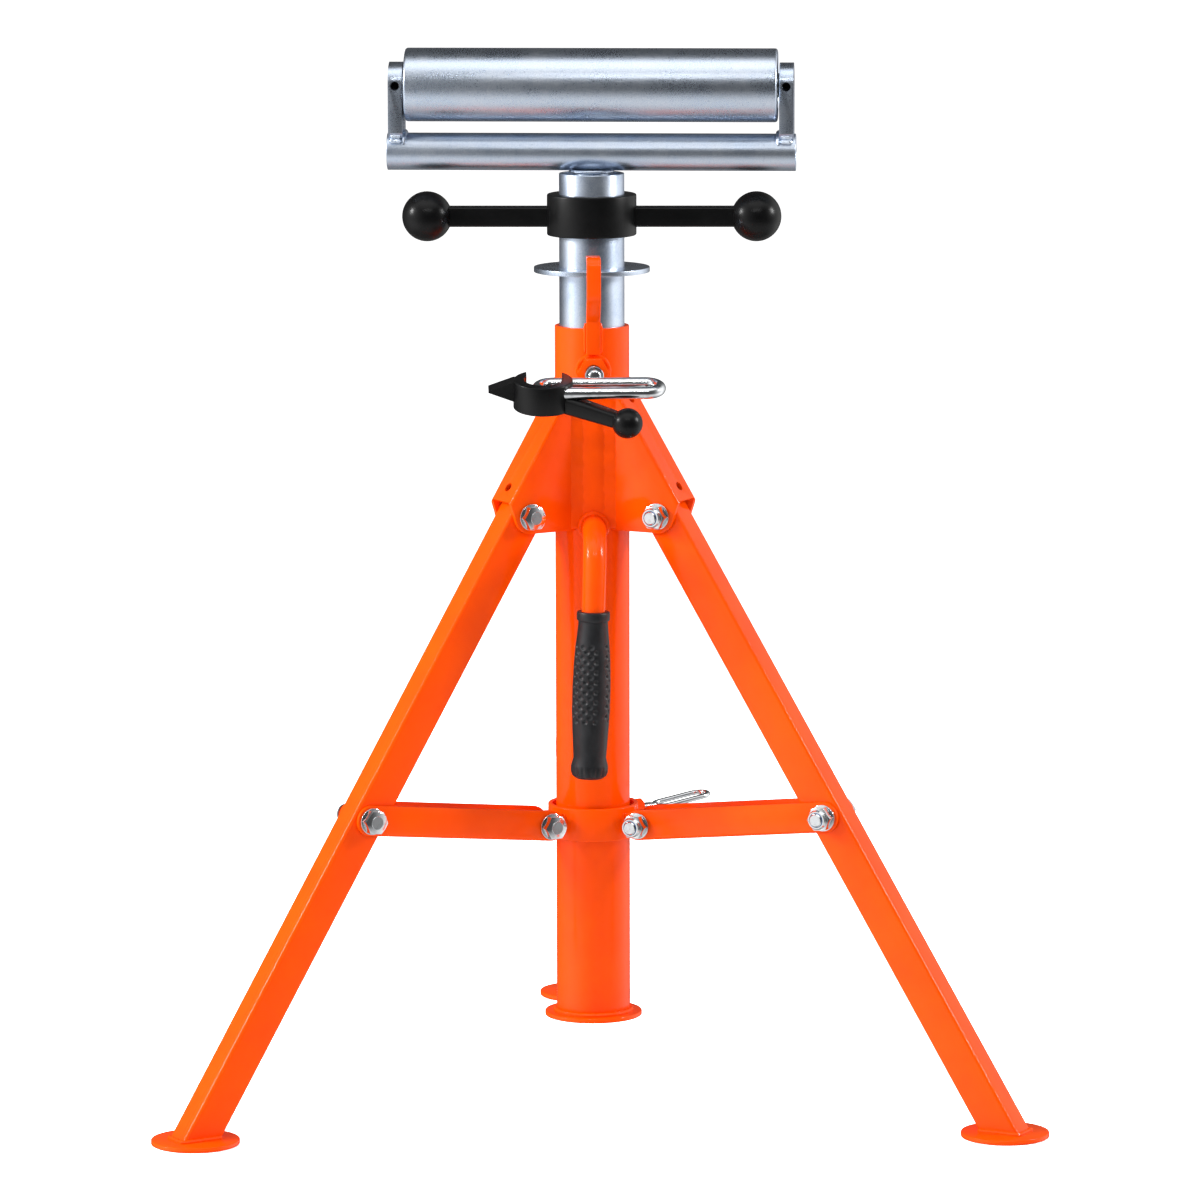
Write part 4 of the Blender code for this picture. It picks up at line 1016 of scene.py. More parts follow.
@dataclass
class Leg(Assembly):
    """A leg tube with its foot, its bracket on the post, and the pivot bolt."""

    side: Side = Side.RIGHT
    fixings: Fixings = field(default_factory=Fixings)
    pivot_radius: float = 0.0575
    pivot_height: float = 0.4055
    tilt: float = 32.5
    width: float = 0.0200
    depth: float = 0.0250
    wall: float = 0.0020
    corner: float = 0.0022
    above: float = 0.0090
    foot: float = 0.0298
    foot_thick: float = 0.0033
    plate: float = 0.0030
    side_play: float = 0.0005
    web_play: float = 0.0032
    lobe: float = 0.0116
    web_end: float = 0.0010
    mouth: float = 0.0023
    bend: float = 0.0024
    hole: float = 0.0032
    seam: float = 0.0046
    hole_low: float = 0.0105
    hole_high: float = 0.0090
    post: float = 0.0254

    def on_plane(self, across: float, up: float) -> Pair:
        """A point of the leg's plane, outward across the leg and up along it from the pivot."""
        sine, cosine = math.sin(math.radians(self.tilt)), math.cos(math.radians(self.tilt))
        return (
            self.pivot_radius + across * cosine - up * sine,
            self.pivot_height + across * sine + up * cosine,
        )

    def up_at(self, across: float, radius: float) -> float:
        """How far up the leg a line at an offset comes within a radius of the post's axis."""
        sine, cosine = math.sin(math.radians(self.tilt)), math.cos(math.radians(self.tilt))
        return (self.pivot_radius + across * cosine - radius) / sine

    def joint(self) -> Matrix:
        """The frame of the leg's pivot, with local Z up along the leg."""
        at = STAND @ self.side.turn @ moved(self.pivot_radius, 0, self.pivot_height)
        return at @ turned_by(-self.tilt, "Y")

    def build(self) -> None:
        """Builds and dresses the sub-assembly."""
        word, body = self.side.word, "leg_" + self.side.word
        joint = self.joint()
        low = -(self.pivot_height / math.cos(math.radians(self.tilt)) + self.depth)
        section = rounded(self.depth, self.width, self.corner)
        skin = Blank.swept(section, [moved(z=low), moved(z=self.above)], capped=False).put(joint)
        skin.sliced(Vector((0, 0, self.foot_thick + SEAT)), Vector((0, 0, -1)))
        self.add("leg_skin_" + word, skin.walled(self.wall), ORANGE, body, "leg_tube_" + word)
        reach = self.pivot_radius + (self.pivot_height - self.foot_thick) * math.tan(math.radians(self.tilt))
        at = STAND @ self.side.turn @ moved(reach)
        disc = Blank.turned(shaft(self.foot, 0.0, self.foot_thick, 0.0007), 96)
        self.add("foot_skin_" + word, disc.put(at), ORANGE, body, "foot_disc_" + word)
        long = self.depth / math.cos(math.radians(self.tilt))
        line = [Vector((*p, self.foot_thick + 0.0004)) for p in rounded(long, self.width, self.corner)]
        bead = Blank.bead(resampled(line, 0.0011), Vector((0, 0, 1)), 0.0040, True)
        self.add("foot_weld_" + word, bead.put(at), WELD, body)
        self.build_bracket(word)
        half = self.width / 2 + self.side_play + self.plate
        place = STAND @ self.side.turn @ moved(self.pivot_radius, 0, self.pivot_height) @ ALONG_Y
        names = ("leg_pivot_bolt_" + word, "leg_pivot_nut_" + word)
        self.fixings.fit(place, half, names, Body.POST)

    def build_bracket(self, word: str) -> None:
        """The folded channel that holds the leg's pivot and stops the leg.

        Args:
            word: The side's name.
        """
        inside = self.width / 2 + self.side_play
        outside = inside + self.plate
        web_in = self.depth / 2 + self.web_play
        web_out = web_in + self.plate
        deep = 0.060
        bend = self.bend
        channel = (
            [(-deep, -outside)] + arc((web_out - bend, -outside + bend), bend, -90, 0, 6)
            + arc((web_out - bend, outside - bend), bend, 0, 90, 6) + [(-deep, outside)]
            + [(-deep, inside)] + arc((web_in - bend / 3, inside - bend / 3), bend / 3, 90, 0, 3)
            + arc((web_in - bend / 3, -inside + bend / 3), bend / 3, 0, -90, 3) + [(-deep, -inside)]
        )
        frame_ = STAND @ self.side.turn
        bar = Blank.plate(channel, -0.05, 0.16)
        bar.put(frame_ @ moved(self.pivot_radius, 0, self.pivot_height) @ turned_by(-self.tilt, "Y"))
        core = self.post / 3
        low = self.pivot_height - self.lobe
        outline = (
            arc((self.pivot_radius, self.pivot_height), self.lobe, -90, -15, 12)
            + [self.on_plane(web_out + 0.001, self.web_end)]
            + [self.on_plane(web_out + 0.001, self.up_at(web_out, core)), (core, low)]
        )
        bar.cut(Blank.plate(outline, -outside - OFF, outside + OFF).put(frame_ @ UPRIGHT), Cut.KEEP)
        far = 2 * self.pivot_radius
        mouth = [
            (0, low - far), (far, low - far), (far, self.pivot_height + self.mouth),
            self.on_plane(web_out + OFF, self.web_end), self.on_plane(web_in - OFF, self.web_end),
            self.on_plane(web_in - OFF, self.web_end - 0.02),
        ]
        bar.cut(Blank.plate(mouth, -inside, inside).put(frame_ @ UPRIGHT))
        bar.cut(Blank.turned(shaft(self.post + SEAT, 0.2, 0.7), 128).put(STAND))
        top = self.up_at(web_out, self.post)
        for up in (self.web_end + self.hole_low, top - self.hole_high):
            x, z = self.on_plane(web_out, up)
            drill = Blank.turned(shaft(self.hole, -OFF, OFF), COARSE)
            bar.cut(drill.put(frame_ @ moved(x, 0, z) @ turned_by(90 - self.tilt, "Y")))
        self.add("bracket_skin_" + word, bar.softened(0.0004), ORANGE, Body.POST, "leg_bracket_" + word)
        for sign, name in ((-1, "front"), (1, "rear")):
            out = math.sqrt(self.post ** 2 - outside ** 2)
            aside = math.sqrt(self.post ** 2 - (outside + self.seam) ** 2) - out
            section = [
                (-0.0010, -0.0010), (self.seam, -0.0003), (self.seam * 0.30, self.seam * 0.22),
                (aside - 0.0003, self.seam),
            ]
            flip = Matrix.Diagonal((1, sign, 1, 1))
            high = self.on_plane(web_out, self.up_at(web_out, out))[1] - 0.002
            count = int((high - low) / 0.0012)
            places = []
            for i in range(count + 1):
                swell = 1.0 + 0.05 * math.sin(i * 0.9) + 0.04 * math.sin(i * 0.37 + sign)
                stand = moved(out, sign * outside, low + 0.001 + (high - low) * i / count)
                places.append(stand @ flip @ Matrix.Diagonal((swell, swell, 1, 1)))
            bead = Blank.swept(section, places).softened(0.0005, 2).put(frame_)
            self.add(f"bracket_weld_{word}_{name}", bead, WELD, Body.POST)


@dataclass
class Brace(Assembly):
    """A channel brace between the sliding collar and a leg, with the bolt at its outer end."""

    side: Side = Side.RIGHT
    fixings: Fixings = field(default_factory=Fixings)
    ear_radius: float = 0.0415
    ear_height: float = 0.1905
    leg_radius: float = 0.0
    leg_height: float = 0.0
    depth: float = 0.0210
    wall: float = 0.0025
    inside: float = 0.0106
    near: float = 0.0160
    far: float = 0.0560
    bend: float = 0.0028

    def build(self) -> None:
        """Builds and dresses the sub-assembly."""
        word, body = self.side.word, "brace_" + self.side.word
        run, rise = self.leg_radius - self.ear_radius, self.leg_height - self.ear_height
        length, slope = math.hypot(run, rise), math.degrees(math.atan2(rise, run))
        place = STAND @ self.side.turn @ moved(self.ear_radius, 0, self.ear_height) @ turned_by(-slope, "Y")
        radius, outside, bend = self.depth / 2, self.inside + self.wall, self.bend
        floor, inner = self.wall - radius, self.bend - self.wall
        channel = (
            [(radius, -outside)] + arc((bend - radius, -outside + bend), bend, -90, -180, 6)
            + arc((bend - radius, outside - bend), bend, 180, 90, 6) + [(radius, outside)]
            + [(radius, self.inside)] + arc((floor + inner, self.inside - inner), inner, 90, 180, 3)
            + arc((floor + inner, inner - self.inside), inner, 180, 270, 3) + [(radius, -self.inside)]
        )
        lie = Matrix(((0, 0, 1, 0), (0, 1, 0, 0), (1, 0, 0, 0), (0, 0, 0, 1)))
        bar = Blank.plate(channel, -radius, length + radius).put(lie).healed()
        ends = arc((0, 0), radius, 90, 270, 24) + arc((length, 0), radius, -90, 90, 24)
        bar.cut(Blank.plate(ends, -outside - OFF, outside + OFF).put(UPRIGHT), Cut.KEEP)
        for low, high in ((-2 * radius, self.near), (length - self.far, length + 2 * radius)):
            slot = [(low, -2 * radius), (high, -2 * radius), (high, 2 * radius), (low, 2 * radius)]
            bar.cut(Blank.plate(slot, -self.inside, self.inside).put(UPRIGHT))
        skin = bar.softened(0.0004).put(place)
        self.add("brace_skin_" + word, skin, ORANGE, body, "brace_" + word)
        at = place @ moved(length) @ ALONG_Y
        self.fixings.fit(at, outside, ("brace_bolt_" + word, "brace_nut_" + word), body)


@dataclass
class Collar(Assembly):
    """The sliding collar with its ears, their bolts, and the lock with its wire loop."""

    fixings: Fixings = field(default_factory=Fixings)
    radius: float = 0.0310
    wall: float = 0.0030
    low: float = 0.1790
    height: float = 0.0225
    ear_radius: float = 0.0415
    ear_above: float = 0.0115
    ear_wall: float = 0.0030
    ear_outside: float = 0.0102
    lobe: float = 0.0070
    seats: float = 0.0131
    lock_above: float = 0.0150
    lock_turn: float = 30.0
    lock_radius: float = 0.0030
    lock_flats: float = 0.0110
    lock_nut: float = 0.0080
    stem_end: float = 0.0520
    stem_start: float = 0.0257
    wire: float = 0.0036
    loop: Pair = (0.0420, 0.0150)
    rise: float = 7.0

    def build(self) -> None:
        """Builds and dresses the sub-assembly."""
        base = STAND @ moved(z=self.low)
        body = Blank.turned(ring(self.radius, self.radius - self.wall, 0, self.height, 0.0007), 128)
        root = self.radius - self.wall / 2
        ear = arc((self.ear_radius, self.ear_above), self.lobe, -90, 90, 16)
        ear += [(root, self.ear_above + self.lobe), (root, self.ear_above - self.lobe)]
        for side in Side:
            for low in (self.ear_outside - self.ear_wall, -self.ear_outside):
                plate = Blank.plate(ear, low, low + self.ear_wall).softened(0.0005)
                body.with_(plate.put(side.turn @ UPRIGHT))
        self.add("collar_skin", body.put(base), ORANGE, Body.COLLAR, "slide_collar")
        for side in Side:
            at = base @ side.turn @ moved(self.ear_radius, 0, self.ear_above) @ ALONG_Y
            names = ("collar_bolt_" + side.word, "collar_nut_" + side.word)
            self.fixings.fit(at, self.seats, names, Body.COLLAR)
            for sign in (-1, 1):
                y = sign * (self.ear_outside + 0.0003)
                x = math.sqrt(self.radius ** 2 - y ** 2)
                line = [Vector((x, y, self.ear_above - self.lobe + self.lobe * i / 6)) for i in range(13)]
                bead = Blank.bead(line, Vector((0, 1, 0)), 0.0030).put(base @ side.turn)
                self.add(f"ear_weld_{side.word}_{'front' if sign < 0 else 'rear'}", bead, WELD, Body.COLLAR)
        self.build_lock(base @ moved(z=self.lock_above) @ turned_by(self.lock_turn, "Z"))

    def build_lock(self, place: Matrix) -> None:
        """The weld nut and the small screw with its wire loop.

        Args:
            place: The lock's frame, with local X outwards.
        """
        seat = self.radius + SEAT
        nut = self.fixings.hexagon(self.lock_flats, seat, seat + self.lock_nut)
        self.add("lock_nut_skin", nut.put(place @ ALONG_X), ORANGE, Body.COLLAR, "collar_lock_nut")
        line = [Vector((*p, seat + 0.0003)) for p in circle_of(self.lock_flats / 2 + 0.0006, 42)]
        bead = Blank.bead(line, Vector((0, 0, 1)), 0.0030, True)
        self.add("lock_nut_weld", bead.put(place @ ALONG_X), WELD, Body.COLLAR)
        stem = Blank.turned(shaft(self.lock_radius - 0.0003, self.stem_start, self.stem_end), 40)
        stem.with_(thread(self.lock_radius - 0.0004, 0.0004, 0.0010, 0.030, self.stem_end - 0.005, 20))
        length, half = self.loop[0], self.loop[1] / 2
        outline = arc((half, 0), half, 90, 270, 20) + arc((length - half, 0), half, -90, 90, 20)
        ring_ = along([Vector((*p, 0)) for p in outline], Vector((0, 0, 1)), True)
        wire = Blank.swept(circle_of(self.wire / 2, 16), ring_, True)
        lift = moved(self.stem_end - self.wire / 3) @ turned_by(-self.rise, "Y")
        stem.put(ALONG_X).with_(wire.put(lift))
        self.add("lock_screw_skin", stem.put(place), BRIGHT, Body.LOCK, "collar_lock_screw")


@dataclass
class Mast(Assembly):
    """The turning sleeve with its flange, its nut and the two-armed handle."""

    radius: float = 0.02225
    wall: float = 0.0027
    low: float = 0.3000
    high: float = 0.6358
    flange: float = 0.0395
    flange_thick: float = 0.0034
    flange_top: float = 0.5720
    nut_below: float = 0.0060
    nut_height: float = 0.0340
    thread_radius: float = 0.0143
    turn: float = -3.0
    hub: float = 0.0305
    hub_low: float = 0.5936
    hub_height: float = 0.0281
    arm: Pair = (0.0138, 0.0120)
    arm_below: float = 0.0014
    knob: float = 0.01705
    reach: float = 0.1120

    def build(self) -> None:
        """Builds and dresses the sub-assembly."""
        bore = self.radius - self.wall
        tube = Blank.turned(ring(self.radius, bore, self.low, self.high, 0.0006), 128)
        self.add("mast_skin", tube.put(STAND), ZINC_UPRIGHT, Body.MAST, "mast_tube")
        plate = ring(self.flange, self.radius + SEAT, self.flange_top - self.flange_thick, self.flange_top, 0.0003)
        self.add("flange_skin", Blank.turned(plate, 128).put(STAND), ZINC_CUT, Body.MAST, "mast_flange")
        top = self.high - self.nut_below
        nut = Blank.turned(ring(bore - SEAT, self.thread_radius, top - self.nut_height, top, 0.0008), 96)
        self.add("mast_nut_skin", nut.put(STAND), ZINC_CUT, Body.MAST, "mast_nut")
        line = [Vector((*p, self.flange_top - self.flange_thick)) for p in circle_of(self.radius + 0.0006, 130)]
        bead = Blank.bead(line, Vector((0, 0, 1)), 0.0030, True)
        self.add("flange_weld", bead.put(STAND), ZINC_CUT, Body.MAST)
        self.build_handle(STAND @ turned_by(self.turn, "Z"))

    def build_handle(self, place: Matrix) -> None:
        """The cast hub with two flat-sided arms, and a ball on each.

        Args:
            place: The handle's frame, with the arms along local X.
        """
        middle = self.hub_low + self.hub_height / 2 - self.arm_below
        bore = self.radius + SEAT
        hub = Blank.turned(ring(self.hub, bore, self.hub_low, self.hub_low + self.hub_height, 0.0011), 128)
        bar = rounded(self.arm[0], self.arm[1], 0.0016, 4)
        for sign, word in ((1, "right"), (-1, "left")):
            ends = [moved(sign * x, 0, middle) @ ALONG_X for x in (self.radius + 0.004, self.reach - 0.008)]
            hub.with_(Blank.swept(bar, ends))
            at = place @ moved(sign * self.reach, 0, middle)
            self.add("knob_skin_" + word, Blank.ball(self.knob, at), BALL, Body.MAST, "handle_knob_" + word)
        self.add("handle_skin", hub.put(place), BLACK, Body.MAST, "t_handle")


@dataclass
class Head(Assembly):
    """The lifting head: threaded stem, cross tube, lugs, axle and roller."""

    turn: float = -5.2
    stem: float = 0.0140
    stem_length: float = 0.3150
    tube: float = 0.0127
    tube_wall: float = 0.0025
    tube_length: float = 0.2778
    tube_height: float = 0.6502
    span: float = 0.2556
    lug: float = 0.0096
    lug_width: float = 0.0300
    lug_top: float = 0.7111
    lug_foot: float = 0.0065
    lug_bevel: Pair = (0.0075, 0.0070)
    axle: float = 0.0060
    axle_height: float = 0.6956
    screw: float = 0.00275
    screw_inset: float = 0.0060
    roller: float = 0.0250
    roller_wall: float = 0.0040
    roller_gap: float = 0.00135
    bearing: float = 0.0120
    spacer: float = 0.0083

    def build(self) -> None:
        """Builds and dresses the sub-assembly."""
        place = STAND @ turned_by(self.turn, "Z")
        top = self.tube_height - self.tube - SEAT
        low = top - self.stem_length
        bar = Blank.turned(shaft(self.stem - 0.0016, low, top, 0.0015), 72)
        bar.with_(thread(self.stem - 0.0016, 0.0014, 0.0080, low + 0.003, top - 0.004, 36))
        self.add("stem_skin", bar.put(place), ZINC_CUT, Body.HEAD, "head_stem")
        line = [Vector((*p, self.tube_height - self.tube - 0.0002)) for p in circle_of(self.stem + 0.0002, 90)]
        bead = Blank.bead(line, Vector((0, 0, 1)), 0.0026, True)
        self.add("stem_weld", bead.put(place), ZINC_CUT, Body.HEAD)
        half = self.tube_length / 2
        pipe = Blank.turned(ring(self.tube, self.tube - self.tube_wall, -half, half, 0.0005), 96)
        lay = place @ moved(z=self.tube_height) @ ALONG_X
        self.add("cross_tube_skin", pipe.put(lay), ZINC, Body.HEAD, "cross_tube")
        at_axle = place @ moved(z=self.axle_height) @ ALONG_X
        reach = self.span / 2 + self.lug
        rod = Blank.turned(shaft(self.axle, -reach, reach, 0.0007), 64)
        self.add("axle_skin", rod.put(at_axle), BRIGHT, Body.HEAD, "roller_axle")
        for sign, word in ((-1, "left"), (1, "right")):
            self.build_lug(place, sign, word)
        self.build_roller(at_axle)

    def build_lug(self, place: Matrix, sign: int, word: str) -> None:
        """An upright lug with its beads, spacer and set screw.

        Args:
            place: The head's frame.
            sign: 1 for the right lug and -1 for the left.
            word: Its name.
        """
        half, near = self.lug_width / 2, self.span / 2
        foot = self.tube_height + self.lug_foot
        aside, up = self.lug_bevel
        outline = arc((0, self.lug_top - half), half, 0, 180, 40) + [
            (-half, foot + up), (aside - half, foot), (half - aside, foot), (half, foot + up),
        ]
        flat = Blank.plate(outline, -self.lug / 2, self.lug / 2)
        middle = sign * (near + self.lug / 2)
        flat.put(moved(middle) @ turned_by(90, "Z") @ UPRIGHT)
        reach = self.tube_length
        for radius, height in ((self.tube + SEAT, self.tube_height), (self.axle + SEAT, self.axle_height)):
            flat.cut(Blank.turned(shaft(radius, -reach, reach), 72).put(moved(z=height) @ ALONG_X))
        hole = Blank.turned(shaft(self.screw + SEAT, -half - OFF, 0.0), COARSE)
        flat.cut(hole.put(moved(middle, 0, self.axle_height) @ ALONG_Y))
        skin = flat.softened(0.0009, 3).put(place)
        self.add("lug_skin_" + word, skin, ZINC_CUT, Body.HEAD, "roller_lug_" + word)
        screw = Blank.turned(shaft(self.screw, -half + self.screw_inset, -self.axle - SEAT, 0.0003), COARSE)
        socket = self.screw * 0.74
        key = [(socket * math.cos(a), socket * math.sin(a)) for a in (i * math.tau / 6 for i in range(6))]
        screw.cut(Blank.plate(key, -half - OFF, -half + self.screw_inset + 0.0022))
        screw.put(place @ moved(middle, 0, self.axle_height) @ ALONG_Y)
        # The set screw gets near-black painted shade for its socket in the lug's hole.
        self.add("set_screw_skin_" + word, screw, PAINTED_SHADE_SOCKET, Body.HEAD, "set_screw_" + word)
        self.build_lug_welds(place, sign, word, foot)
        low = self.span / 2 - self.roller_gap + SEAT
        washer = Blank.turned(ring(self.spacer, self.axle + SEAT, low, near - SEAT, 0.0003), 64)
        washer.put(place @ moved(z=self.axle_height) @ (ALONG_X if sign > 0 else turned_by(-90, "Y")))
        self.add("spacer_skin_" + word, washer, DARK, Body.HEAD, "roller_spacer_" + word)

    def build_lug_welds(self, place: Matrix, sign: int, word: str, foot: float) -> None:
        """The beads that join a lug to the cross tube, inside, outside, front and back.

        Args:
            place: The head's frame.
            sign: 1 for the right lug and -1 for the left.
            word: Its name.
            foot: The height of the lug's lower edge.
        """
        half = min(self.lug_width / 2, self.tube - 0.0008)
        near = self.span / 2
        beads = Blank()
        for x in (near - 0.0006, near + self.lug + 0.0006):
            line = []
            for i in range(19):
                y = half * (i / 9 - 1) * 0.98
                line.append(Vector((sign * x, y, self.tube_height + math.sqrt(self.tube ** 2 - y ** 2) + 0.0004)))
            if x < near or self.tube_length / 2 > x + 0.0016:
                beads.with_(Blank.bead(line, Vector((1, 0, 0)), 0.0044))
        for y in (-half + 0.0006, half - 0.0006):
            for drop, wide in ((0.0050, 0.0056), (0.0014, 0.0050)):
                line = [
                    Vector((sign * (near + 0.0006 + self.lug * i / 9), y * (1 + 0.02 * math.sin(2.1 * i)), foot + drop))
                    for i in range(9)
                ]
                beads.with_(Blank.bead(line, Vector((0, 1, 0)), wide))
        self.add("lug_weld_" + word, beads.put(place), ZINC_CUT, Body.HEAD)

    def build_roller(self, place: Matrix) -> None:
        """The roller's shell and the bearings in its ends.

        Args:
            place: The roller's frame, with local Z along its axis.
        """
        half = self.span / 2 - self.roller_gap
        bore = self.roller - self.roller_wall
        shell = Blank.turned(ring(self.roller, bore, -half, half, 0.0018), 160)
        self.add("roller_skin", shell.put(place), ZINC_ROLLER, Body.ROLLER, "roller_shell")
        for word, low in (("left", -half + 0.0004), ("right", half - 0.0004 - self.bearing)):
            race = Blank.turned(ring(bore - SEAT, self.axle + SEAT, low, low + self.bearing, 0.0005), 96)
            self.add("bearing_skin_" + word, race.put(place), DARK, Body.ROLLER, "roller_bearing_" + word)


@dataclass
class Hook(Assembly):
    """The flat bar that keeps the flange down, with the beads that hold it on the post."""

    width: float = 0.0096
    thick: float = 0.0045
    low: float = 0.5149
    straight: float = 0.5380
    joggle: float = 0.5550
    top: float = 0.5822
    out: float = 0.0415
    bend: float = 0.0050
    lip: float = 0.0110
    post: float = 0.0254

    def build(self) -> None:
        """Builds and dresses the sub-assembly."""
        half = self.thick / 2
        near, far, high = -self.post - SEAT - half, -self.out - half, self.top - half
        path = [(near, self.low), (near, self.straight - 0.002)]
        path += [(near - 0.0006, self.straight + 0.001), (far + 0.0006, self.joggle - 0.001), (far, self.joggle + 0.002)]
        path += arc((far + self.bend, high - self.bend), self.bend, 180, 90, 10)
        path += [(far + self.bend + self.lip, high)]
        places = along([Vector((0, y, z)) for y, z in path], Vector((1, 0, 0)))
        bar = Blank.swept(rounded(self.width, self.thick, 0.0007, 3), places).put(STAND)
        self.add("hook_skin", bar, ORANGE, Body.POST, "retaining_hook")
        for sign, word in ((-1, "left"), (1, "right")):
            x = sign * (self.width / 2 + 0.0005)
            y = -math.sqrt(self.post ** 2 - x ** 2) - 0.0008
            count = 15
            line = [Vector((x, y, self.low + 0.001 + (self.straight - self.low - 0.003) * i / count)) for i in range(count + 1)]
            bead = Blank.bead(line, Vector((1, 0, 0)), 0.0030).put(STAND)
            self.add("hook_weld_" + word, bead, WELD, Body.POST)


@dataclass
class Clamp(Assembly):
    """The mast clamp: weld nut, screw with its oblong loop, and the cast lever on the loop."""

    fixings: Fixings = field(default_factory=Fixings)
    height: float = 0.5032
    radius: float = 0.0052
    flats: float = 0.0190
    nut: float = 0.0110
    post: float = 0.0254
    tip: float = 0.02255
    back: float = 0.0560
    rod: float = 0.0085
    length: float = 0.0904
    shift: float = 0.0026
    below: float = 0.0048
    apart: float = 0.0200
    droop: float = 12.0
    eye: Pair = (0.0200, 0.0125)
    eye_x: float = -0.0376
    eye_top: float = 0.0067
    eye_height: float = 0.0200
    notch: tuple[float, float, float] = (0.0110, 0.0130, 0.0113)
    tail: tuple[float, float, float] = (0.0368, 0.0130, 0.0135)
    tail_drop: Pair = (0.0010, 0.0067)
    tail_back: float = 0.0025
    arm: Pair = (0.0126, 0.0102)
    arm_drop: float = 0.0148
    ball: float = 0.0103
    ball_at: tuple[float, float, float] = (0.0560, -0.0250, -0.0163)

    def loop(self, radius: float, steps: int = 20) -> Blank:
        """The oblong loop, its back bar on local X and its front bar towards -Y.

        Args:
            radius: The rod's radius.
            steps: Chords in each bend.

        Returns:
            The loop.
        """
        bend = self.apart / 2
        side = self.length / 2 - self.rod / 2 - bend
        outline = arc((side, -bend), bend, -90, 90, steps) + arc((-side, -bend), bend, 90, 270, steps)
        places = along([Vector((*p, 0)) for p in outline], Vector((0, 0, 1)), True)
        return Blank.swept(circle_of(radius, 28), places, True)

    def build(self) -> None:
        """Builds and dresses the sub-assembly."""
        axis = STAND @ moved(z=self.height)
        lay = axis @ TOWARDS_FRONT
        seat = self.post + SEAT
        nut = self.fixings.hexagon(self.flats, seat - 0.0028, seat + self.nut)
        nut.cut(Blank.turned(shaft(self.radius + SEAT, 0, 2 * seat), 48)).put(lay)
        nut.cut(Blank.turned(shaft(seat, 0.4, 0.6), 128).put(STAND))
        self.add("clamp_nut_skin", nut, ORANGE, Body.POST, "clamp_nut")
        spread = self.flats / 2 + 0.0011
        line = []
        for x, z in circle_of(spread, 54):
            line.append(Vector((x, -math.sqrt(self.post ** 2 - x ** 2) - 0.0008, z)))
        bead = Blank.bead(line, Vector((0, -1, 0)), 0.0042, True).put(axis)
        self.add("clamp_nut_weld", bead, WELD, Body.POST)
        stem = Blank.turned(shaft(self.radius - 0.0006, self.tip, self.back, 0.0024), 48)
        stem.with_(thread(self.radius - 0.0007, 0.0006, 0.0015, self.tip + 0.002, self.back - self.rod / 2, 28))
        back = moved(self.shift, -self.back, -self.below) @ turned_by(self.droop, "X")
        stem.put(TOWARDS_FRONT).with_(self.loop(self.rod / 2).put(back))
        ring_ = [Vector((*p, self.back - self.rod / 2 + 0.0010)) for p in circle_of(self.radius + 0.0002, 24)]
        stem.with_(Blank.bead(ring_, Vector((0, 0, 1)), 0.0022, True).put(TOWARDS_FRONT))
        self.add("clamp_screw_skin", stem.put(axis), BRIGHT, Body.CLAMP, "clamp_screw")
        self.build_lever(axis @ back)

    def build_lever(self, place: Matrix) -> None:
        """The cast eye with its pointed tail, and the arm that ends in a ball.

        Args:
            place: The loop's frame.
        """
        outer, inner = self.eye
        eye = moved(self.eye_x, -self.apart / 2, 0)
        low = self.eye_top - self.eye_height
        body = Blank.turned(ring(outer, inner, low, self.eye_top, 0.0008), 128).put(eye)
        reach, wide, deep = self.tail
        top, tip = self.eye_top - self.tail_drop[0], self.eye_top - sum(self.tail_drop)
        wall = (outer + inner) / 2
        wedge = [
            (-wall, top), (-outer, top), (-reach, tip + 0.0005), (-reach, tip - 0.0005),
            (-outer, top - deep), (-wall, top - deep),
        ]
        tail = Blank.plate(wedge, -wide / 2 - self.tail_back, wide / 2 - self.tail_back)
        body.cut(tail.put(eye @ UPRIGHT), Cut.JOIN)
        left, right, down = self.notch
        floor, above = self.eye_top - down, self.eye_top + OFF
        gap = [(-left, floor), (right, floor), (right, above), (-left, above)]
        body.cut(Blank.plate(gap, -outer - OFF, 0.0).put(eye @ UPRIGHT))
        root = Vector((*(Vector(self.ball_at).xy.normalized() * wall), self.eye_top - self.arm_drop))
        run = Vector(self.ball_at) - root
        turn = run.to_track_quat("Z", "Y").to_matrix().to_4x4()
        start = eye @ Matrix.Translation(root) @ turn
        first, last = (rounded(a * 1.05, a * 0.95, a * 0.22, 4) for a in self.arm)
        shrink = Matrix.Diagonal((self.arm[1] / self.arm[0], self.arm[1] / self.arm[0], 1, 1))
        arm = Blank.swept(first, [start, start @ moved(z=run.length - self.ball * 0.5) @ shrink])
        body.cut(arm, Cut.JOIN)
        body.cut(self.loop(self.rod / 2 + SEAT))
        skin = body.softened(0.0005, 2, 50).put(place)
        self.add("lever_skin", skin, BLACK, Body.CLAMP, "clamp_lever")
        at = place @ eye @ Matrix.Translation(self.ball_at)
        self.add("lever_ball_skin", Blank.ball(self.ball, at), BALL, Body.CLAMP, "lever_ball")


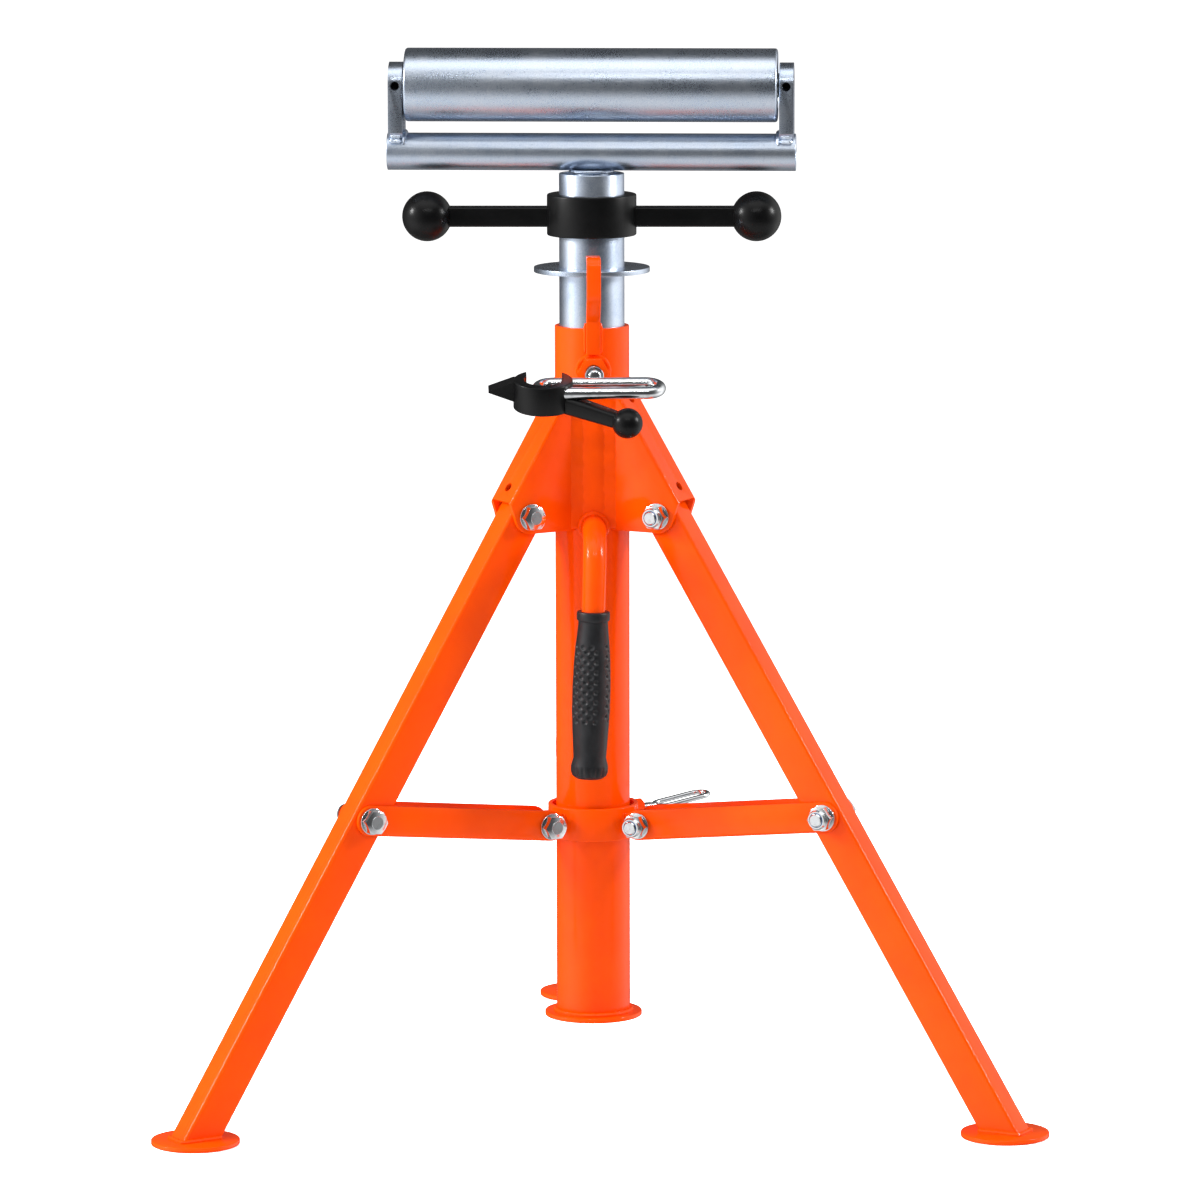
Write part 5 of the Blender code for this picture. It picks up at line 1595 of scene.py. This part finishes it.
@dataclass
class CarryHandle(Assembly):
    """The bent rod on the post's front and the rubber grip on its lower end."""

    rod: float = 0.0080
    root: float = 0.3965
    standoff: float = 0.0670
    bend: float = 0.0260
    lean: float = 1.6
    top: float = 0.3448
    low: float = 0.2304
    post: float = 0.0254
    rim: float = 0.0112
    belly: float = 0.0129
    waist: float = 0.0113
    flare: float = 0.0126

    def build(self) -> None:
        """Builds and dresses the sub-assembly."""
        place = STAND @ moved(z=self.root) @ turned_by(self.lean, "Y")
        curve = arc((self.bend - self.standoff, -self.bend), self.bend, 90, 180, 24)
        path = [(-self.post + 0.001, 0.0), *curve, (-self.standoff, self.low + 0.004 - self.root)]
        places = along([Vector((0, y, z)) for y, z in path], Vector((1, 0, 0)))
        rod = Blank.swept(circle_of(self.rod, 64), places).put(place)
        self.add("carry_rod_skin", rod, ORANGE, Body.POST, "carry_handle")
        spread, line = self.rod + 0.0009, []
        for x, z in circle_of(spread, 48):
            line.append(Vector((x, -math.sqrt(self.post ** 2 - x ** 2) - 0.0012, z)))
        bead = Blank.bead(line, Vector((0, -1, 0)), 0.0046, True)
        self.add("carry_rod_weld", bead.put(STAND @ moved(z=self.root)), WELD, Body.POST)
        self.build_grip(place @ moved(0, -self.standoff, -self.root))

    def build_grip(self, place: Matrix) -> None:
        """The grip, with its dimples pressed in.

        Args:
            place: The grip's frame, with local Z up along it and heights from the floor.
        """
        bore, top, low = self.rod + SEAT, self.top, self.low
        section = [
            (bore, top), (self.rim - 0.001, top), (self.rim - 0.0003, top - 0.0003), (self.rim, top - 0.001),
            (self.rim, top - 0.0052), (self.rim - 0.0003, top - 0.0060), (self.rim - 0.0012, top - 0.0068),
            (self.rim - 0.0012, top - 0.0085), (self.rim - 0.0006, top - 0.0150), (self.rim + 0.0004, top - 0.0240),
            (self.rim + 0.0012, top - 0.0360), (self.belly, top - 0.0500), (self.belly, top - 0.0686),
            (self.belly - 0.0006, top - 0.0800), (self.waist, low + 0.0170), (self.waist - 0.0002, low + 0.0140),
            (self.flare - 0.0003, low + 0.0095), (self.flare, low + 0.0080), (self.flare, low + 0.0045),
            (self.flare - 0.0010, low + 0.0018), (self.flare - 0.0034, low), (0.0, low), (0.0, low + 0.003),
            (bore, low + 0.003),
        ]
        body = Blank.turned(section, 160)
        fine = [e for e in body.bm.edges if self.on_wall(e)]
        bmesh.ops.subdivide_edges(body.bm, edges=fine, cuts=60, use_grid_fill=True)
        self.press(body)
        body.put(place)
        self.add("grip_skin", body, RUBBER, Body.POST, "handle_grip")

    def on_wall(self, edge: bmesh.types.BMEdge) -> bool:
        """Whether an upright edge belongs to the part of the grip that has dimples."""
        a, b = (v.co for v in edge.verts)
        wide = min(a.xy.length, b.xy.length) > self.rod + 0.002
        return wide and abs(a.z - b.z) > 0.008

    def press(self, body: Blank) -> None:
        """Presses staggered rows of dimples into two panels of the grip, and a ring of dots below them.

        Args:
            body: The grip's mesh, upright about the origin.
        """
        pitch, width, deep = math.radians(32.0), 0.0021, 0.0011
        rows = [(self.top - 0.0235 - 0.0034 * i, (i % 2) * pitch / 2) for i in range(16)]
        spots = []
        for middle in (242.0, 122.0, 2.0):
            for z, shift in rows:
                for k in range(-1, 2):
                    spots.append((math.radians(middle) + k * pitch + shift - pitch / 4, z, width))
        spots += [(i * math.tau / 16, self.low + 0.0052, 0.0016) for i in range(16)]
        for vert in body.bm.verts:
            around = vert.co.xy.length
            if around < self.rod + 0.002:
                continue
            angle = math.atan2(vert.co.y, vert.co.x)
            for spot, z, size in spots:
                up = vert.co.z - z
                if abs(up) > size:
                    continue
                aside = math.remainder(angle - spot, math.tau) * around
                far = math.hypot(aside, up) / size
                if far < 1.0:
                    drop = deep * (1 - far * far) ** 1.5
                    vert.co.xy *= (around - drop) / around
                    break


# Studio


@dataclass
class Studio:
    """Floor, world, lamps and the photograph's camera."""

    focal: float = 6862.10
    picture: float = 1200.0
    film: float = 36.0
    distance: float = 4.65309
    height: float = 1.05355
    pitch: float = 8.692
    roll: float = 0.125
    heading: float = 0.0626
    yaw: float = 1.7314
    floor_plain: tuple = solid(0.80, 0.80, 0.80)
    floor_white: tuple = solid(2.00, 2.00, 2.00)
    surround: float = 0.55
    dark_mirror: float = 0.07
    side_panels: tuple[float, float, float] = (1.15, 16.0, 4.8)
    overhead: float = 1.55
    lit_floor: float = 0.75

    def floor(self) -> None:
        """A wide pale floor that the camera sees as white outside the shadow."""
        blank = Blank()
        bmesh.ops.create_grid(blank.bm, x_segments=8, y_segments=8, size=40.0)
        thing = bpy.data.objects.new("studio_floor", blank.put(moved(z=-0.0002)).data("studio_floor"))
        bpy.context.scene.collection.objects.link(thing)
        nodes = Nodes(bpy.data.materials.new("pale_floor"))
        camera, mirror = self.rays(nodes)
        plain = nodes.add("ShaderNodeBsdfDiffuse", {}, {"Color": self.floor_plain})
        white = nodes.add("ShaderNodeBsdfDiffuse", {}, {"Color": self.floor_white})
        image = nodes.add("ShaderNodeBsdfTransparent", {}, {})
        mixed = nodes.add("ShaderNodeMixShader", {}, {0: mirror, 1: plain, 2: image})
        mixed = nodes.add("ShaderNodeMixShader", {}, {0: camera, 1: mixed, 2: white})
        nodes.feed(nodes.output.inputs["Surface"], mixed)
        thing.data.materials.append(nodes.owner)

    @staticmethod
    def rays(nodes: Nodes) -> tuple[Value, Value]:
        """Which rays look at the stage.

        Args:
            nodes: The tree that asks.

        Returns:
            1 for the camera's rays, and 1 for those that metal or glass sends on.
        """
        camera = nodes.add("ShaderNodeLightPath", {}, {}, "Is Camera Ray")
        outputs = camera.socket.node.outputs
        glossy, through = (Value(nodes, outputs[n]) for n in ("Is Glossy Ray", "Is Transmission Ray"))
        return camera, (glossy + through).ramp(0.0, 1.0, 0.0, 1.0)

    def world(self) -> None:
        """A white surround; what metal and paint mirror is dark, with two side panels, one overhead and a lit floor."""
        world = bpy.data.worlds.new("studio")
        nodes = Nodes(world)
        camera, mirror = self.rays(nodes)
        way = nodes.add("ShaderNodeSeparateXYZ", {}, {0: nodes.add("ShaderNodeTexCoord", {}, {}, "Generated")})
        x, y, z = (Value(nodes, way.socket.node.outputs[i]) for i in range(3))
        bright, azimuth, narrow = self.side_panels
        sides = (y.to_angle(x) + (math.pi / 2 - math.radians(azimuth))).wave().size().power(narrow)
        sides = sides * z.size().ramp(0.45, 0.85, bright, 0.0)
        above = z.ramp(0.58, 0.86, 0.0, self.overhead) * y.ramp(-0.10, 0.10, 1.0, 0.0)
        below = z.ramp(-0.66, -0.26, self.lit_floor, 0.0) * y.ramp(-0.45, 0.25, 1.0, 0.25)
        image = sides + above + below + self.dark_mirror
        level = image * mirror + (1.0 - mirror) * self.surround
        nodes.set(color=solid(1.0, 1.0, 1.0), strength=level * (1.0 - camera) + camera)
        bpy.context.scene.world = world

    def lamp(self, name: str, place: tuple, aim: tuple, size: Pair, power: float, seen: bool = False) -> None:
        """A rectangular soft lamp.

        Args:
            name: Its name.
            place: Where it stands.
            aim: The point that it faces.
            size: Its width and height.
            power: Its power in watts.
            seen: Whether gloss mirrors it.
        """
        data = bpy.data.lights.new(name, "AREA")
        data.shape, data.size, data.size_y, data.energy = "RECTANGLE", *size, power
        thing = bpy.data.objects.new(name, data)
        thing.location = place
        run = Vector(aim) - Vector(place)
        thing.rotation_euler = run.to_track_quat("-Z", "Y").to_euler()
        thing.visible_glossy = seen
        bpy.context.scene.collection.objects.link(thing)

    def camera(self) -> None:
        """The camera at the photograph's place, from the fit to the stand's edges."""
        p, psi, r = (math.radians(v) for v in (self.pitch, self.heading, self.roll))
        ahead = Vector((math.sin(psi) * math.cos(p), math.cos(psi) * math.cos(p), -math.sin(p)))
        right = Vector((math.cos(psi), -math.sin(psi), 0.0))
        down = ahead.cross(right)
        across = math.cos(r) * right + math.sin(r) * down
        below = -math.sin(r) * right + math.cos(r) * down
        turn = Matrix((across, -below, -ahead)).transposed().to_4x4()
        data = bpy.data.cameras.new("photo_camera")
        data.sensor_fit, data.sensor_width = "HORIZONTAL", self.film
        data.lens = self.focal / self.picture * self.film
        data.clip_end = 100.0
        thing = bpy.data.objects.new("photo_camera", data)
        thing.matrix_world = STAND @ turned_by(-self.yaw, "Z") @ moved(0, -self.distance, self.height) @ turn
        bpy.context.scene.collection.objects.link(thing)
        bpy.context.scene.camera = thing

    def build(self) -> None:
        """Sets up the stage."""
        self.floor()
        self.world()
        self.camera()
        self.lamp("key", (-2.2, -0.8, 1.35), (0, 0, 0.35), (1.2, 1.6), 62.0)
        self.lamp("fill", (2.3, -0.3, 1.3), (0, 0, 0.35), (1.0, 1.6), 8.0)
        self.lamp("top", (0.0, 0.0, 2.6), (0, 0, 0.3), (1.8, 1.8), 14.0)
        self.lamp("left_strip", (-1.85, -0.35, 1.25), (0, 0, 0.4), (0.30, 0.45), 20.0, True)
        self.lamp("right_strip", (1.85, -0.35, 1.25), (0, 0, 0.4), (0.30, 0.45), 18.0, True)
        self.lamp("brow_strip", (0.0, -1.75, 1.75), (0, 0, 0.4), (1.4, 0.03), 4.0, True)
        bpy.context.scene.view_settings.view_transform = "Standard"


def main() -> None:
    """Builds the stand and the stage."""
    logging.basicConfig(level=logging.INFO, format="%(message)s", stream=sys.stdout)
    fixings = Fixings()
    first = Leg(Side.RIGHT, fixings)
    on_leg = 0.2340
    out = first.pivot_radius + on_leg * math.sin(math.radians(first.tilt))
    up = first.pivot_height - on_leg * math.cos(math.radians(first.tilt))
    Studio().build()
    parts: Iterable[Assembly] = [
        Post(),
        *(Leg(side=side, fixings=fixings) for side in Side),
        *(Brace(side=side, fixings=fixings, leg_radius=out, leg_height=up) for side in Side),
        Collar(fixings), Mast(), Head(), Hook(), Clamp(fixings), CarryHandle(),
    ]
    for part in parts:
        part.build()
        LOG.info("%s built", type(part).__name__)


if __name__ == "__main__":
    main()
